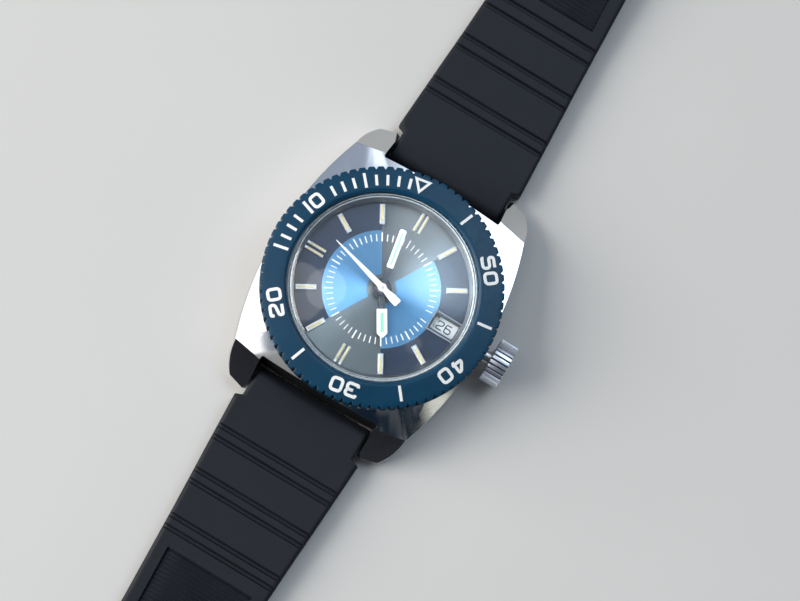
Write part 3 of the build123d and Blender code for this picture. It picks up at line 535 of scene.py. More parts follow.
def case_paint(centre, normal):
    """Brushed on the cone, near-black steel as painted shade on the walls between the lugs, polished
    elsewhere.
    """
    if CONE_NORMAL[0] < normal.z < CONE_NORMAL[1] and centre.z > CONE_LOW:
        return 0
    between_lugs = abs(centre.x) < LUG_INSIDE and abs(centre.y) > LUG_ROOT and abs(normal.z) < 0.3
    return 2 if between_lugs else 1


def make_case():
    refined("case_middle", "case", "case", [steel_top, steel_bright, steel_painted_shade],
            0.05, case_paint, sharp=10)
    refined("case_back", "back_cover", "case", [steel_back], 0.08)


CROWN_LOW, CROWN_HIGH = span("crown")
CROWN_RIDGES, CROWN_GROOVE = 28, 0.36
# Share of a ridge's pitch from its middle, and how deep the rim is there.
RIDGE_SHAPE = ((-0.5, 1), (-0.42, 0.96), (-0.37, 0.6), (-0.335, 0.12), (-0.29, 0), (0, -0.03), (0.29, 0),
               (0.335, 0.12), (0.37, 0.6), (0.42, 0.96))
GROOVE_STEPS = (0, 1, 8, 9)  # places in the shape above whose faces lie down in a groove
RIM_FACES = range(6, 10)  # faces of the profile along the rim


def crown_profile(rim, length):
    """(radius, distance along the stem) round half a section of the crown."""
    return [(0.51, 1.9), (0.51, 1.12), (1.45, 1.12), (1.45, 0.05), (1.5, 0), (2.5, 0), (rim - 0.1, 0.06),
            (rim - 0.02, 0.12), (rim, 0.18), (rim, length - 0.24), (rim - 0.03, length - 0.17),
            (min(rim - 0.1, 2.82), length - 0.08), (2.6, length - 0.06), (2.4, length - 0.04),
            (1.2, length - 0.015), (0.02, length), (0.02, 1.9)]


def make_crown():
    radius = (CROWN_HIGH.y - CROWN_LOW.y) / 2
    middle_z = (CROWN_HIGH.z + CROWN_LOW.z) / 2
    rings = []
    for i in range(CROWN_RIDGES):
        for share, depth in RIDGE_SHAPE:
            angle = (i + share) * 360 / CROWN_RIDGES
            profile = crown_profile(radius - CROWN_GROOVE * depth, CROWN_HIGH.x - CROWN_LOW.x)
            points = [(along, *polar(r, angle)) for r, along in profile]
            rings.append([(CROWN_LOW.x + along, y, middle_z + z) for along, y, z in points])
    shape = Shape(rings, wrap=True)
    size = len(rings[0])
    # Groove floors along the rim take near-black steel as painted shade.
    for i in range(len(shape.faces)):
        ring, place = divmod(i, size)
        if place in RIM_FACES and ring % len(RIDGE_SHAPE) in GROOVE_STEPS:
            shape.paints[i] = 1
    shape.build("crown_knob", [steel_crown, steel_painted_shade], "crown", "polished_steel", ["crown"], 30)


make_case()
make_crown()


# ---- Bezel ----
BEZEL_R, _, BEZEL_TOP = span("bezel")[1]
BEZEL_NOTCHES, NOTCH_DEPTH = 80, 0.42
BEZEL_SLOPE, BEZEL_CREST, BEZEL_LIP = 0.1793, 13.85, 13.28
BEZEL_ZERO = 90 + 10.05  # direction of the zero mark
NOTCH_HALF = 1.0  # degrees from the middle of a notch to its edge
NOTCH_FLAT = 0.9  # how far up that way the notch's floor ends
NOTCH_SAMPLES = (0, 0.12, 0.5, 0.88, 1.0, 1.12, 1.6, 2.0)


def bezel_height(radius):
    """Height of the lacquered top at a radius."""
    return BEZEL_TOP - BEZEL_SLOPE * max(0, radius - BEZEL_CREST)


def bezel_profile(rim):
    """Section of the bezel where its edge reaches a radius."""
    lip, top = BEZEL_LIP, bezel_height(rim)
    slope = [(r, bezel_height(r)) for r in (14.4, 15.4, 16.2, rim - 0.12)]
    return [(lip, 8.15), (lip, 8.66), (lip + 0.05, 8.76), (lip + 0.3, 8.92), (13.80, 8.985),
            (13.92, BEZEL_TOP - 0.02), *slope, (rim - 0.04, top - 0.02), (rim, top - 0.09), (rim, 6.92),
            (rim - 0.07, 6.84), (16.38, 6.48), (16.1, 6.45), (16.1, 6.95), (14.35, 6.95), (14.35, 8.1)]


def make_bezel():
    pitch = 360 / BEZEL_NOTCHES
    rings = []
    for i in range(BEZEL_NOTCHES):
        offsets = [-d for d in reversed(NOTCH_SAMPLES[1:])] + list(NOTCH_SAMPLES)
        for offset in offsets:
            share = max(0, 1 - abs(offset) / NOTCH_HALF)
            rim = BEZEL_R - NOTCH_DEPTH * min(share, NOTCH_FLAT) / NOTCH_FLAT
            angle = (i + 0.5) * pitch + offset
            rings.append([(*polar(r, angle), z) for r, z in bezel_profile(rim)])
    Shape(rings, wrap=True).build("bezel_ring", [lacquer], "bezel", "bezel_paint", ["bezel"], 30)


TICK_WIDTH, SHORT_TICK, LONG_TICK = 0.40, (14.15, 15.7), (13.95, 16.1)
SHORT_MINUTES, LONG_MINUTES = (1, 2, 3, 4, 6, 7, 8, 12, 13, 14), (5, 15, 25, 35, 45, 55)
NUMERAL_RADIUS, NUMERALS = 14.99, ((1.9, 2.1), 0.44, 0.30)  # the second is their cell, stroke and gap
TRIANGLE, TRIANGLE_STROKE = [(-1.0, 1.0), (1.0, 1.0), (0, -0.72)], 0.36
PRINT_HEIGHT = 0.035


def on_bezel(degrees):
    """A mapping from (along, outward, height) at a direction to the bezel's sloping top."""
    return facing(degrees - 90, degrees, (0, NUMERAL_RADIUS), bezel_height)


def make_bezel_marks():
    shape = Shape()
    for minutes, (start, end) in ((SHORT_MINUTES, SHORT_TICK), (LONG_MINUTES, LONG_TICK)):
        for minute in minutes:
            place = on_bezel(BEZEL_ZERO + 6 * minute)
            path = [(0, start - NUMERAL_RADIUS), (0, end - NUMERAL_RADIUS)]
            shape.stroke(path, TICK_WIDTH, place, PRINT_HEIGHT)
    for tens in (10, 20, 30, 40, 50):
        write(shape, str(tens), *NUMERALS, on_bezel(BEZEL_ZERO + 6 * tens), PRINT_HEIGHT)
    shape.stroke(TRIANGLE, TRIANGLE_STROKE, on_bezel(BEZEL_ZERO), PRINT_HEIGHT, closed=True)
    shape.build("bezel_marks", [white_paint], "bezel", "hand_white")


make_bezel()
make_bezel_marks()


# ---- Crystal ----
CRYSTAL_LOW, CRYSTAL_TOP = (corner.z for corner in span("crystal"))
CRYSTAL_R, CRYSTAL_WALL = span("crystal")[1].x, 0.4
CRYSTAL_SHOULDER, INNER_SHOULDER, INNER_DROP = 9.2, 8.8, 1.0
CAP_START, CAP_STEPS = 11.0, 28
# From here on the ring's slope is painted dark as painted shadow over the dial's edge.
RING_SLOPE = 5  # the ring's faces from here on are its dark slope


def dome_outline(radius, shoulder, top, edge):
    """(radius, z) points up a wall, round its edge and over a spherical cap to the axis."""
    rise = top - shoulder
    sphere = (radius ** 2 + rise ** 2) / (2 * rise)

    def cap(r):
        return top - sphere + math.sqrt(sphere ** 2 - r ** 2)

    wall = rounded([(radius, CRYSTAL_LOW), (radius, shoulder), (CAP_START, cap(CAP_START))], edge, steps=10)
    radii = [CAP_START * (1 - i / CAP_STEPS) for i in range(1, CAP_STEPS + 1)]
    return wall + [(r, cap(r)) for r in radii]


def make_crystal():
    """A clear dome with a ground edge."""
    outer = dome_outline(CRYSTAL_R, CRYSTAL_SHOULDER, CRYSTAL_TOP, 0.9)
    inner = dome_outline(CRYSTAL_R - CRYSTAL_WALL, INNER_SHOULDER, CRYSTAL_TOP - INNER_DROP, 0.5)
    ground = (0, len(outer) + len(inner) - 1)  # the outer wall and the foot
    turned(outer + inner[::-1], 160, ground).build(
        "crystal_dome", [crystal_glass, crystal_edge], "case", "crystal_clear", ["crystal"], 60)


def make_tension_ring():
    """The bright ring that holds the crystal, with a stepped slope down to the dial, painted dark as painted
    shadow over the dial's edge.
    """
    low, high = (corner.z for corner in span("crystal_tension_ring"))
    reach = span("crystal_tension_ring")[1].x
    profile = [(12.35, low), (reach, low), (reach, high - 0.03), (reach - 0.03, high), (12.62, high),
               (12.56, high - 0.04), (12.47, 7.86), (12.42, 7.84), (12.31, 7.58), (12.26, 7.56),
               (12.15, 7.31), (12.10, 7.29), (12.01, 7.05), (12.0, 7.0), (12.0, 6.88), (12.03, 6.85),
               (12.35, 6.85)]
    turned(profile, 160, range(RING_SLOPE, len(profile))).build(
        "tension_ring", [rehaut, rehaut_painted_shadow], "case", "plain_steel", ["crystal_tension_ring"], 30)


make_crystal()
make_tension_ring()


# ---- Dial ----
DIAL_R, DIAL_LOW, DIAL_TOP = span("dial")[1].x, span("dial")[0].z, span("dial")[1].z
DIAL_EDGE, DIAL_SECTORS = DIAL_R - 0.05, 360
DIAL_HOLE, HUB_R, BLUE_R = 1.05, 2.05, 8.15
SILVER_SECTORS = ((330, 390), (150, 210))  # clock degrees
BLUE, SILVER, DARK, BACK = range(4)  # the dial's materials
WINDOW_LOW, WINDOW_HIGH = span("date_window_frame")
WINDOW_X, WINDOW_HALF = (WINDOW_LOW.x + WINDOW_HIGH.x) / 2, (1.75, 1.05)
WINDOW_REACH = 14  # degrees to each side where the sectors leave room for the window


def dial_paint(radius, clock):
    """Which colour a part of the dial has."""
    turns = [clock % 360 + turn for turn in (0, 360)]
    if radius < HUB_R or any(start < turn < end for start, end in SILVER_SECTORS for turn in turns):
        return SILVER
    return BLUE if radius < BLUE_R else DARK


def add_dial_face(shape, level):
    """One face of the dial, in thin sectors that leave the date window open."""
    window = (WINDOW_X - WINDOW_HALF[0], WINDOW_X + WINDOW_HALF[0])
    radii = [DIAL_HOLE, HUB_R, BLUE_R, *window, DIAL_EDGE]
    step = 360 / DIAL_SECTORS
    for inner, outer in zip(radii, radii[1:]):
        for i in range(DIAL_SECTORS):
            middle = (i + 0.5) * step
            off_window = abs((middle + 180) % 360 - 180)
            if inner == window[0] and off_window < WINDOW_REACH:
                continue
            paint = dial_paint((inner + outer) / 2, 90 - middle) if level == DIAL_TOP else BACK
            start, end = i * step, (i + 1) * step
            corners = [polar(inner, start), polar(outer, start), polar(outer, end), polar(inner, end)]
            shape.patch(at_height(corners, level), paint)
    add_window_surround(shape, level, window, step)


def add_window_surround(shape, level, window, step):
    """Dial between the window's opening and the sectors left out round it."""
    half_y = WINDOW_HALF[1]
    for side in (-1, 1):
        for i in range(int(WINDOW_REACH / step)):
            corners = []
            for end, radii in ((i, window), (i + 1, window[::-1])):
                for radius in radii:
                    x, y = polar(radius, end * step * side)
                    x = min(max(x, window[0]), window[1]) if abs(y) < half_y else x
                    corners.append((x, side * max(abs(y), half_y), level))
            shape.patch(corners, DARK if level == DIAL_TOP else BACK)


def make_dial():
    """A plate of thin sectors, open at the date window."""
    shape = Shape()
    for level in (DIAL_TOP, DIAL_LOW):
        add_dial_face(shape, level)
    rim = [(DIAL_EDGE, DIAL_TOP), (DIAL_R, DIAL_TOP - 0.05), (DIAL_R, DIAL_LOW + 0.05), (DIAL_EDGE, DIAL_LOW)]
    for profile in (rim, [(DIAL_HOLE, DIAL_LOW), (DIAL_HOLE, DIAL_TOP)]):
        shape.loft(turned_rings(profile, DIAL_SECTORS), wrap=True, paint=BACK, open_ring=True)
    opening = rectangle(*WINDOW_HALF, WINDOW_X)
    shape.loft([at_height(opening, z) for z in (DIAL_LOW, DIAL_TOP)], caps=False, paint=DARK)
    materials = [dial_blue, dial_silver, dial_dark, dial_back]
    shape.build("dial_plate", materials, "case", "dial_paint", ["dial"], 20)


def pointing(clock, level):
    """A mapping from (outward, sideways, height) for something that points at a clock angle."""
    return facing(90 - clock, 180 - clock, (0, 0), lambda radius: level)


TICK, LONG_DIAL_TICK, TICK_PRINT, FIVE_WIDER = (6.65, 7.6), (6.6, 7.85), 0.13, 1.4


def make_dial_print():
    """The minute track, open at the date window."""
    shape = Shape()
    for minute in range(60):
        if minute == 15:
            continue
        five = minute % 5 == 0
        start, end = LONG_DIAL_TICK if five else TICK
        width = TICK_PRINT * (FIVE_WIDER if five else 1)
        shape.stroke([(start, 0), (end, 0)], width, pointing(6 * minute, DIAL_TOP), 0.02, -0.01)
    shape.build("dial_ticks", [white_paint], "case", "hand_white")


# Sideways places of the bars, (start, end, half width), eased edge, and the line's (start, end, width).
SINGLE = ((0.0,), (8.9, 11.8, 0.375), 0.07, (9.35, 11.55, 0.34))
DOUBLE = ((-0.39, 0.39), (9.1, 12.0, 0.2), 0.05, (9.25, 11.6, 0.24))


def make_markers():
    """Applied bars with a luminous line, double at 6, 9 and 12 and left out at the date window."""
    silver, lume = Shape(), Shape()
    high = span("hour_markers")[1].z - DIAL_TOP
    for hour in range(1, 13):
        if hour == 3:
            continue
        place = pointing(30 * hour, DIAL_TOP)
        middles, (start, end, half), edge, (lume_start, lume_end, width) = DOUBLE if hour % 3 == 0 else SINGLE
        for v in middles:
            silver.slab(bar(start, end, half, v), -0.02, high, place, edge)
            lume.stroke([(lume_start, v), (lume_end, v)], width, place, high + 0.03, high - 0.1)
    silver.build("marker_bars", [marker_silver], "case", "polished_steel", ["hour_markers"])
    lume.build("marker_lume", [lume_yellow], "case", "hand_white")


def make_window_frame():
    """A bright rim, then a step down to the opening."""
    high = WINDOW_HIGH.z
    half_x, half_y = (WINDOW_HIGH.x - WINDOW_LOW.x) / 2, WINDOW_HIGH.y
    rim = [(0, 0, DIAL_TOP - 0.02), (0, 0, high - 0.06), (0.05, 0.05, high), (0.20, 0.20, high),
           (0.25, 0.25, high - 0.08)]
    down = (half_x - WINDOW_HALF[0], half_y - WINDOW_HALF[1])
    slope = [rim[-1], (0.25, 0.25, high - 0.20), (*down, DIAL_TOP + 0.06), (*down, DIAL_LOW)]
    shape = Shape()
    for paint, steps in enumerate((rim, slope)):
        rings = [at_height(rectangle(half_x - inset, half_y - sideways, WINDOW_X), z)
                 for inset, sideways, z in steps]
        shape.loft(rings, caps=False, paint=paint)
    materials = [frame_silver, frame_step]
    shape.build("window_frame", materials, "case", "polished_steel", ["date_window_frame"], 20)


DATE_TODAY, DATE_COUNT = 26, 31
DATE_FIGURES = ((1.02, 1.30), 0.17, 0.20)  # cell, stroke and gap


def make_date_figures():
    top = span("date_ring")[1].z
    shape = Shape()
    for day in range(1, DATE_COUNT + 1):
        turn = (day - DATE_TODAY) * 360 / DATE_COUNT
        place = facing(turn, turn + 90, (WINDOW_X, 0), lambda radius: top)
        write(shape, str(day), *DATE_FIGURES, place, 0.015)
    shape.build("date_figures", [date_ink], "date", "date_white")


make_dial()
make_dial_print()
make_markers()
make_window_frame()
make_date_figures()


# ---- Hands ----
HOUR_CLOCK, MINUTE_CLOCK, SECOND_CLOCK = 148.9, 349.6, 285.1
HAND_THICK = 0.18


def annulus(shape, outer, inner, low, high, edge=0.03, paint=0):
    """A flat ring with eased edges about the dial's axis."""
    profile = [(inner, low), (outer, low), (outer, high - edge), (outer - edge, high), (inner + edge, high),
               (inner, high - edge)]
    shape.loft(turned_rings(profile, 64), wrap=True, paint=paint)


def make_baton_hand(node, name, body, clock, boss, arm, baton, inlay):
    """A painted baton on an arm and boss of polished steel coloured dark as a painted reflection, with a
    luminous inlay.
    """
    level = span(node)[0].z
    place = pointing(clock, level)
    shape = Shape()
    annulus(shape, *boss, level, level + HAND_THICK, paint=1)
    shape.slab(bar(*arm), 0, HAND_THICK - 0.02, place, 0.04, 1)
    shape.slab(baton, 0.0, HAND_THICK, place, 0.05)
    start, end, width = inlay
    shape.stroke([(start, 0), (end, 0)], width, place, HAND_THICK + 0.03, HAND_THICK - 0.06, paint=2)
    shape.build(name, [hand_paint, hand_arm_painted_reflection, lume_green], body, "hand_white", [node])


def make_hour_hand():
    outline = [(2.8, -0.72), (6.2, -0.72), (6.8, -0.12), (6.8, 0.12), (6.2, 0.72), (2.8, 0.72)]
    make_baton_hand("hour_hand", "hour_pointer", "hours", HOUR_CLOCK, (1.35, 0.95), (1.25, 3.0, 0.42),
                    rounded(outline, 0.12, True, 3), (3.35, 6.05, 0.46))


def make_minute_hand():
    make_baton_hand("minute_hand", "minute_pointer", "minutes", MINUTE_CLOCK, (1.05, 0.69), (0.95, 3.1, 0.38),
                    rounded(bar(2.9, 8.6, 0.48), 0.3, True), (3.4, 8.0, 0.27))


def make_second_hand():
    """A tapered needle with a broad tail, on a boss with a bright pin."""
    level = span("second_hand")[0].z
    place = pointing(SECOND_CLOCK, level)
    shape = Shape()
    needle = [(-3.1, -0.56), (-3.1, 0.56), (-1.9, 0.56), (-0.8, 0.38), (0.5, 0.40),
              (9.0, 0.05), (9.0, -0.05), (0.5, -0.40), (-0.8, -0.38), (-1.9, -0.56)]
    shape.slab(rounded(needle, 0.2, True, 4), 0.0, HAND_THICK, place, 0.04)
    annulus(shape, 0.56, 0.0, level - 0.02, level + HAND_THICK + 0.05, 0.05)
    annulus(shape, 0.24, 0.0, level + HAND_THICK, level + HAND_THICK + 0.16, 0.05, 1)
    shape.build("second_pointer", [hand_paint, marker_silver], "seconds", "hand_white", ["second_hand"])


make_hour_hand()
make_minute_hand()
make_second_hand()


# ---- Strap ----
BAR_Y, BAR_Z, BAR_HOLE_R = 18.9, 1.75, 0.8
EYE_R, EYE_STRETCH, EYE_STEPS, EYE_START = 1.5, 1.21, 9, 6  # the last in degrees up from level
STRAP_LOW, STRAP_THICK = span("strap_12")[0].z, 2.9
NECK_HALF, SHOULDER_Y = 8.9, 22.0
RAISED_LOW, RAISED_THICK, RAISE_FROM, RAISE_TO = 1.08, 2.3, 45.0, 56.0
BUCKLE_Y, BUCKLE_Z, BUCKLE_EYE_R, BUCKLE_HOLE_R = 94.0, 2.23, 1.18, 0.75
TAIL_END = -span("strap_6")[0].y
WIDTHS = ((22, 9.95), (30, 9.55), (40, 9.0), (56, 8.3), (98, 7.9), (140, 7.9))
# Grooves of the buckle half and of the tail half, in pairs, and where each half's ribbed panel starts.
GROOVES = {1: (28.9, 30.7, 36.4, 38.3, 43.8, 45.9), -1: (27.3, 29.0, 34.2, 35.9, 41.3, 43.0)}
PANEL_FROM = {1: 48.2, -1: 45.3}
GROOVE_DEPTH, GROOVE_HALF = 0.52, 0.28
PANEL_TO, PANEL_BORDER, PANEL_DEPTH = 66.0, 2.0, 0.5
RIB_PITCH, RIB_HEIGHT = 0.62, 0.22


def ramp(value, start, end):
    """0 before start, 1 after end, eased in between."""
    t = min(1, max(0, (value - start) / (end - start)))
    return t * t * (3 - 2 * t)


def strap_half(y):
    """Half the strap's width at a distance from the dial's axis."""
    if y < SHOULDER_Y:
        return NECK_HALF
    for (start, wide), (end, narrow) in zip(WIDTHS, WIDTHS[1:]):
        if y <= end:
            t = max(0, (y - start) / (end - start))
            step = WIDTHS[0][1] - NECK_HALF - 0.1
            return wide + (narrow - wide) * t - step * (1 - ramp(y, SHOULDER_Y, SHOULDER_Y + 0.45))
    return WIDTHS[-1][1]


def groove(y, sign):
    """Depth of the transverse grooves."""
    near = min(abs(y - middle) for middle in GROOVES[sign])
    return GROOVE_DEPTH * (1 - ramp(near, GROOVE_HALF * 0.45, GROOVE_HALF * 1.5))


def panel(y, edge, sign):
    """Depth of the ribbed panel at a distance from the strap's side."""
    inside = min(y - PANEL_FROM[sign], PANEL_TO - y, edge - PANEL_BORDER)
    if inside <= 0:
        return 0.0
    rib = RIB_HEIGHT * (0.5 - 0.5 * math.cos(2 * math.pi * (y - PANEL_FROM[sign]) / RIB_PITCH))
    return PANEL_DEPTH * ramp(inside, 0, 0.16) - rib * ramp(inside, 0.15, 0.3)


ROUND_TOP, ROUND_LOW = 0.55, 0.3
EDGE_STEPS = (0.0, 0.03, 0.12, 0.28, 0.5, 0.75, 1.2)


def easing(edge, radius):
    """Drop of a rounded edge at a distance from it."""
    if edge >= radius:
        return 0.0
    return radius - math.sqrt(radius ** 2 - (radius - edge) ** 2)


def strap_ring(y, half, low, high, sign):
    """One closed cross-section of the strap."""
    edges = list(EDGE_STEPS) + [PANEL_BORDER - 0.02, PANEL_BORDER + 0.16, PANEL_BORDER + 0.32]
    scale = min(1.0, half / 4)
    edges = [e * scale for e in edges if e * scale < half * 0.9]
    middle = [-half * 0.45, 0, half * 0.45]
    across = [-half + e for e in edges] + middle + [half - e for e in reversed(edges)]
    thick = high - low
    top_round, low_round = min(ROUND_TOP, thick * 0.45), min(ROUND_LOW, thick * 0.35)
    ring = []
    for x in across:
        edge = half - abs(x)
        cut = max(groove(y, sign) * ramp(edge, -0.2, 0.1), panel(y, edge, sign))
        ring.append((x, y * sign, high - max(cut, 0) - easing(edge, top_round)))
    for x in reversed(across):
        edge = half - abs(x)
        ring.append((x, y * sign, low + easing(edge, low_round)))
    return ring


def strap_stations(end, sign):
    """Distances along the strap, close together where its shape changes."""
    first = PANEL_FROM[sign]
    stations = [SHOULDER_Y + s for s in (-0.01, 0.02, 0.1, 0.2, 0.32, 0.45, 1.2, 2.4, 4)]
    for middle in GROOVES[sign]:
        stations += [middle + GROOVE_HALF * s for s in (-1.5, -1.2, -0.9, -0.6, 0, 0.6, 0.9, 1.2, 1.5)]
    stations += [32.5, 40.0, first - 1.2, first - 0.01]
    ribs = int((PANEL_TO - first) / RIB_PITCH) * 6
    stations += [first + 0.02 + i * RIB_PITCH / 6 for i in range(ribs)]
    stations += [PANEL_TO - 0.15, PANEL_TO, PANEL_TO + 0.02, PANEL_TO + 1]
    stations += [PANEL_TO + 3 + 2.5 * i for i in range(int(end - PANEL_TO))]
    return sorted(s for s in set(stations) if s < end)


def eye_stations(centre_z, low_at, high_at, radius, stretch=1.0):
    """(offset, low, high) of a round end about a bar, from its tip to its middle."""
    rows = []
    for i in range(EYE_STEPS):
        angle = math.radians(EYE_START + (90 - EYE_START) * i / (EYE_STEPS - 1))
        reach, rise = radius * math.cos(angle), radius * math.sin(angle)
        rows.append((reach * stretch, max(low_at, centre_z - rise), min(high_at, centre_z + rise)))
    return rows


def eye_rings(sign):
    """Cross-sections of the strap round the spring bar."""
    return [strap_ring(BAR_Y - reach, NECK_HALF, low, high, sign)
            for reach, low, high in eye_stations(BAR_Z, STRAP_LOW, BAR_Z + EYE_R, EYE_R, EYE_STRETCH)]


def strap_top(y):
    """Height of the strap's top, which falls from the eye to the strap's own thickness."""
    eye_top = BAR_Z + EYE_R
    return eye_top + (STRAP_LOW + STRAP_THICK - eye_top) * ramp(y, BAR_Y, SHOULDER_Y + 6)


def rod(radius, y, z, half=12, steps=40):
    """A round cutter along X."""
    circle = [polar(radius, 360 * i / steps) for i in range(steps)]
    return loose(Shape([[(x, y + across, z + up) for across, up in circle] for x in (-half, half)]), "cutter")


def moulded(rings, name, node, cutters):
    """A strap half from its cross-sections, with its holes cut out."""
    piece = loose(Shape(rings), name)
    for cutter in cutters:
        modify(piece, "BOOLEAN", operation="DIFFERENCE", solver="EXACT", object=cutter)
        bpy.data.objects.remove(cutter)
    piece.data.materials.clear()
    piece.data.materials.append(rubber)
    return settle(piece, node, [node], 34)


def make_strap_12():
    """The buckle half: it lies flat, then rises to the buckle's bar."""
    rings = eye_rings(1)
    for y in strap_stations(BUCKLE_Y - 1.0, 1):
        rise = ramp(y, RAISE_FROM, RAISE_TO)
        low, top = STRAP_LOW + (RAISED_LOW - STRAP_LOW) * rise, strap_top(y)
        high = top + (RAISED_LOW + RAISED_THICK - top) * rise
        rings.append(strap_ring(y, strap_half(y), low, high, 1))
    half = strap_half(BUCKLE_Y)
    for reach, low, high in reversed(eye_stations(BUCKLE_Z, 0, 9, BUCKLE_EYE_R)):
        rings.append(strap_ring(BUCKLE_Y + reach, half, low, high, 1))
    slot_outline = rounded(rectangle(1.4, 3.2, 0, BUCKLE_Y + 0.8), 0.6, True)
    slot = Shape([at_height(slot_outline, z) for z in (-1, 6)])
    cutters = [loose(slot, "cutter"), rod(BAR_HOLE_R, BAR_Y, BAR_Z), rod(BUCKLE_HOLE_R, BUCKLE_Y, BUCKLE_Z)]
    return moulded(rings, "strap_buckle_half", "strap_12", cutters)


HOLE_R, HOLE_PITCH, HOLE_COUNT, HOLE_FIRST = 1.1, 6.5, 8, 76.0
TAPER, TAPER_HALF = 9.0, 7.9


def tail_half(y):
    """Half width of the pointed tail."""
    left = TAIL_END - y
    if left >= TAPER:
        return strap_half(y)
    return TAPER_HALF * math.sqrt(max(0.0, 1 - (1 - left / TAPER) ** 3.2)) + 0.25


def tail_top(y):
    """Height of the tail half's top, which gets thinner outward."""
    return strap_top(y) - 0.4 * ramp(y, 42, 56) - 0.3 * ramp(y, 56, TAIL_END)


def hole_cutter(y, top):
    """A round hole whose top edge is rolled over."""
    profile = [(0, -1), (HOLE_R, -1), (HOLE_R, top - 0.35), (HOLE_R + 0.04, top - 0.18),
               (HOLE_R + 0.16, top - 0.04), (HOLE_R + 0.4, top + 0.02), (HOLE_R + 0.4, top + 1), (0, top + 1)]
    rings = [[(px, py + y, z) for px, py, z in ring] for ring in turned_rings(profile, 40)]
    return loose(Shape(rings, wrap=True), "cutter")


def make_strap_6():
    """The tail half, with its adjustment holes."""
    rings = eye_rings(-1)
    tips = [TAIL_END - d for d in (8, 7, 6, 5, 4, 3.2, 2.5, 1.8, 1.2, 0.8, 0.5, 0.25, 0.1, 0.02)]
    for y in strap_stations(TAIL_END - TAPER, -1) + tips:
        round_off = easing(TAIL_END - y, 0.9) * 0.9
        low, high = STRAP_LOW + round_off * 0.4, tail_top(y) - round_off
        rings.append(strap_ring(y, tail_half(y), low, high, -1))
    holes = [HOLE_FIRST + i * HOLE_PITCH for i in range(HOLE_COUNT)]
    cutters = [rod(BAR_HOLE_R, -BAR_Y, BAR_Z)] + [hole_cutter(-y, tail_top(y)) for y in holes]
    return moulded(rings, "strap_tail_half", "strap_6", cutters)


def make_keeper(node, body):
    """A rubber loop with a softly rounded band."""
    low, high = span(node)
    wall = 0.95
    half_x, middle_z, half_z = high.x - wall / 2, (low.z + high.z) / 2, (high.z - low.z) / 2 - wall / 2
    path = rounded(rectangle(half_x, half_z, 0, middle_z), 1.3, True, 8)
    centre_y, half_y = (low.y + high.y) / 2, (high.y - low.y) / 2
    section = rounded(rectangle(wall / 2, half_y), 0.3, True, 4)
    rings = []
    for left, right in stroke_edges(path, 1.0, closed=True):
        middle, outward = (left + right) / 2, right - left
        rings.append([(middle.x + outward.x * u, centre_y + v * (1 - 0.06 * u), middle.y + outward.y * u)
                      for u, v in section])
    Shape(rings, wrap=True).build(node + "_loop", [rubber], body, "strap_rubber", [node], 40)


make_strap_12()
make_strap_6()
make_keeper("fixed_keeper", "strap_12")
make_keeper("sliding_keeper", "sliding_keeper")
refined("buckle_frame", "buckle_loop", "buckle_frame", [steel_bright], 0.38, segments=4)
refined("buckle_tongue", "buckle_pin", "buckle_tongue", [steel_bright], 0.2, segments=3)


# ---- Carried-over CAD pieces ----
CAD_FINISH_AND_PAINTED_SHADE = {
    steel_plain: "crown_tube barrel_arbor winding_stem winding_pinion sliding_pinion setting_lever click "
                 "pallet_fork buckle_bar ratchet_wheel crown_wheel cannon_pinion",
    # The spring bars sit in the shaded lug gap and take near-black steel as painted shade.
    steel_painted_shade: "spring_bar_12 spring_bar_6",
    steel_blued: "bridge_screws hairspring mainspring",
    steel_bright: "bezel_click_spring",
    gilt: "centre_wheel third_wheel fourth_wheel escape_wheel balance_wheel barrel minute_wheel hour_wheel",
    nickel: "main_plate barrel_bridge train_bridge balance_cock pallet_bridge",
    ruby: "jewels",
    plastic: "movement_holder",
    gasket: "case_back_gasket crown_gasket",
    date_card: "date_ring",
}
for finish, names in CAD_FINISH_AND_PAINTED_SHADE.items():
    for name in names.split():
        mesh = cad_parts[name].data
        mesh.materials.clear()
        mesh.materials.append(finish)


# ---- Floor and light ----
FLOOR_HALF = 0.35


def make_floor():
    rings = [[(x * FLOOR_HALF / MM, y * FLOOR_HALF / MM, -0.01) for x in (-1, 1)] for y in (-1, 1)]
    floor = loose(Shape(rings, caps=False, open_ring=True), "floor")
    card = surface("floor_card", (0.62, 0.60, 0.57), 0.75, 0.0, (0.015, 40), (0.04, 4), (0.1, 0.5))
    floor.data.materials.append(card)


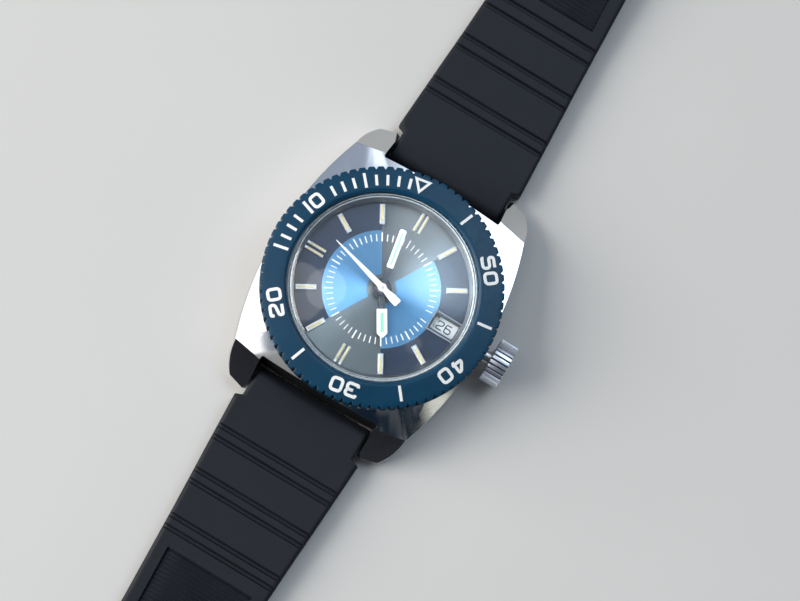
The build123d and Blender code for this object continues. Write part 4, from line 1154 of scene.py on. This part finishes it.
def make_key_light():
    """A large soft light from the left of the picture."""
    light = bpy.data.lights.new("key", "AREA")
    light.shape = "RECTANGLE"
    light.size = light.size_y = 0.75
    light.energy, light.color = 12.0, (1.0, 0.985, 0.96)
    key = placed("key", light)
    key.location = from_image(56, 165, 0.9)
    key.rotation_euler = key.location.to_track_quat("Z", "Y").to_euler()


# Soft light sources in the surroundings: how far off the camera's axis, towards which direction on the
# picture, where full strength ends and where it has faded out (degrees), and the colour and strength.
# The one with a negative colour dims its patch.
HORIZON, OVERHEAD = (0.02, 0.02, 0.025, 1), (0.085, 0.095, 0.11, 1)
GLOWS = (
    (46, 43, 14, 26, (0.86, 0.95, 1.06), 2.0),
    (21.5, 127, 7.5, 8.4, (1.0, 0.99, 0.96), 2.1),
    (13, 151, 3, 10, (0.96, 0.95, 0.84), 0.30),
    (38, 98, 12, 34, (0.80, 0.94, 1.20), 0.42),
    (22, 347, 2.4, 4.0, (1.0, 1.0, 0.86), 1.0),
    (12.5, 325, 7.5, 11, (-1.0, -1.0, -1.0), 0.08),
    (35.5, 36, 2, 13, (0.52, 0.78, 1.05), 3.2),
)


def make_world():
    """Dim surroundings, darker near the horizon, with soft glows."""
    scene.world = bpy.data.worlds.new("studio")
    graph = Graph(scene.world, "Background")
    place = graph.node("TexCoord").outputs["Generated"]
    up = graph.node("SeparateXYZ", {0: place}).outputs["Z"]
    base = graph.node("ValToRGB", {0: up})
    for element, position, colour in zip(base.color_ramp.elements, (0.05, 0.85), (HORIZON, OVERHEAD)):
        element.position, element.color = position, colour
    total = base.outputs[0]
    for off, way, full, gone, colour, strength in GLOWS:
        toward = graph.node("VectorMath", {0: place, 1: from_image(off, way, 1.0)}, operation="DOT_PRODUCT")
        fade = graph.node("MapRange", {
            "Value": toward.outputs["Value"], "From Min": math.cos(math.radians(gone)),
            "From Max": math.cos(math.radians(full)), "To Max": strength}, interpolation_type="SMOOTHSTEP")
        glow = {0: colour, 1: fade.outputs["Result"], 2: total}
        total = graph.node("VectorMath", glow, operation="MULTIPLY_ADD").outputs["Vector"]
    graph.fill(graph.shader, {"Color": total})


make_floor()
make_world()
make_key_light()
scene.view_settings.view_transform = "Standard"
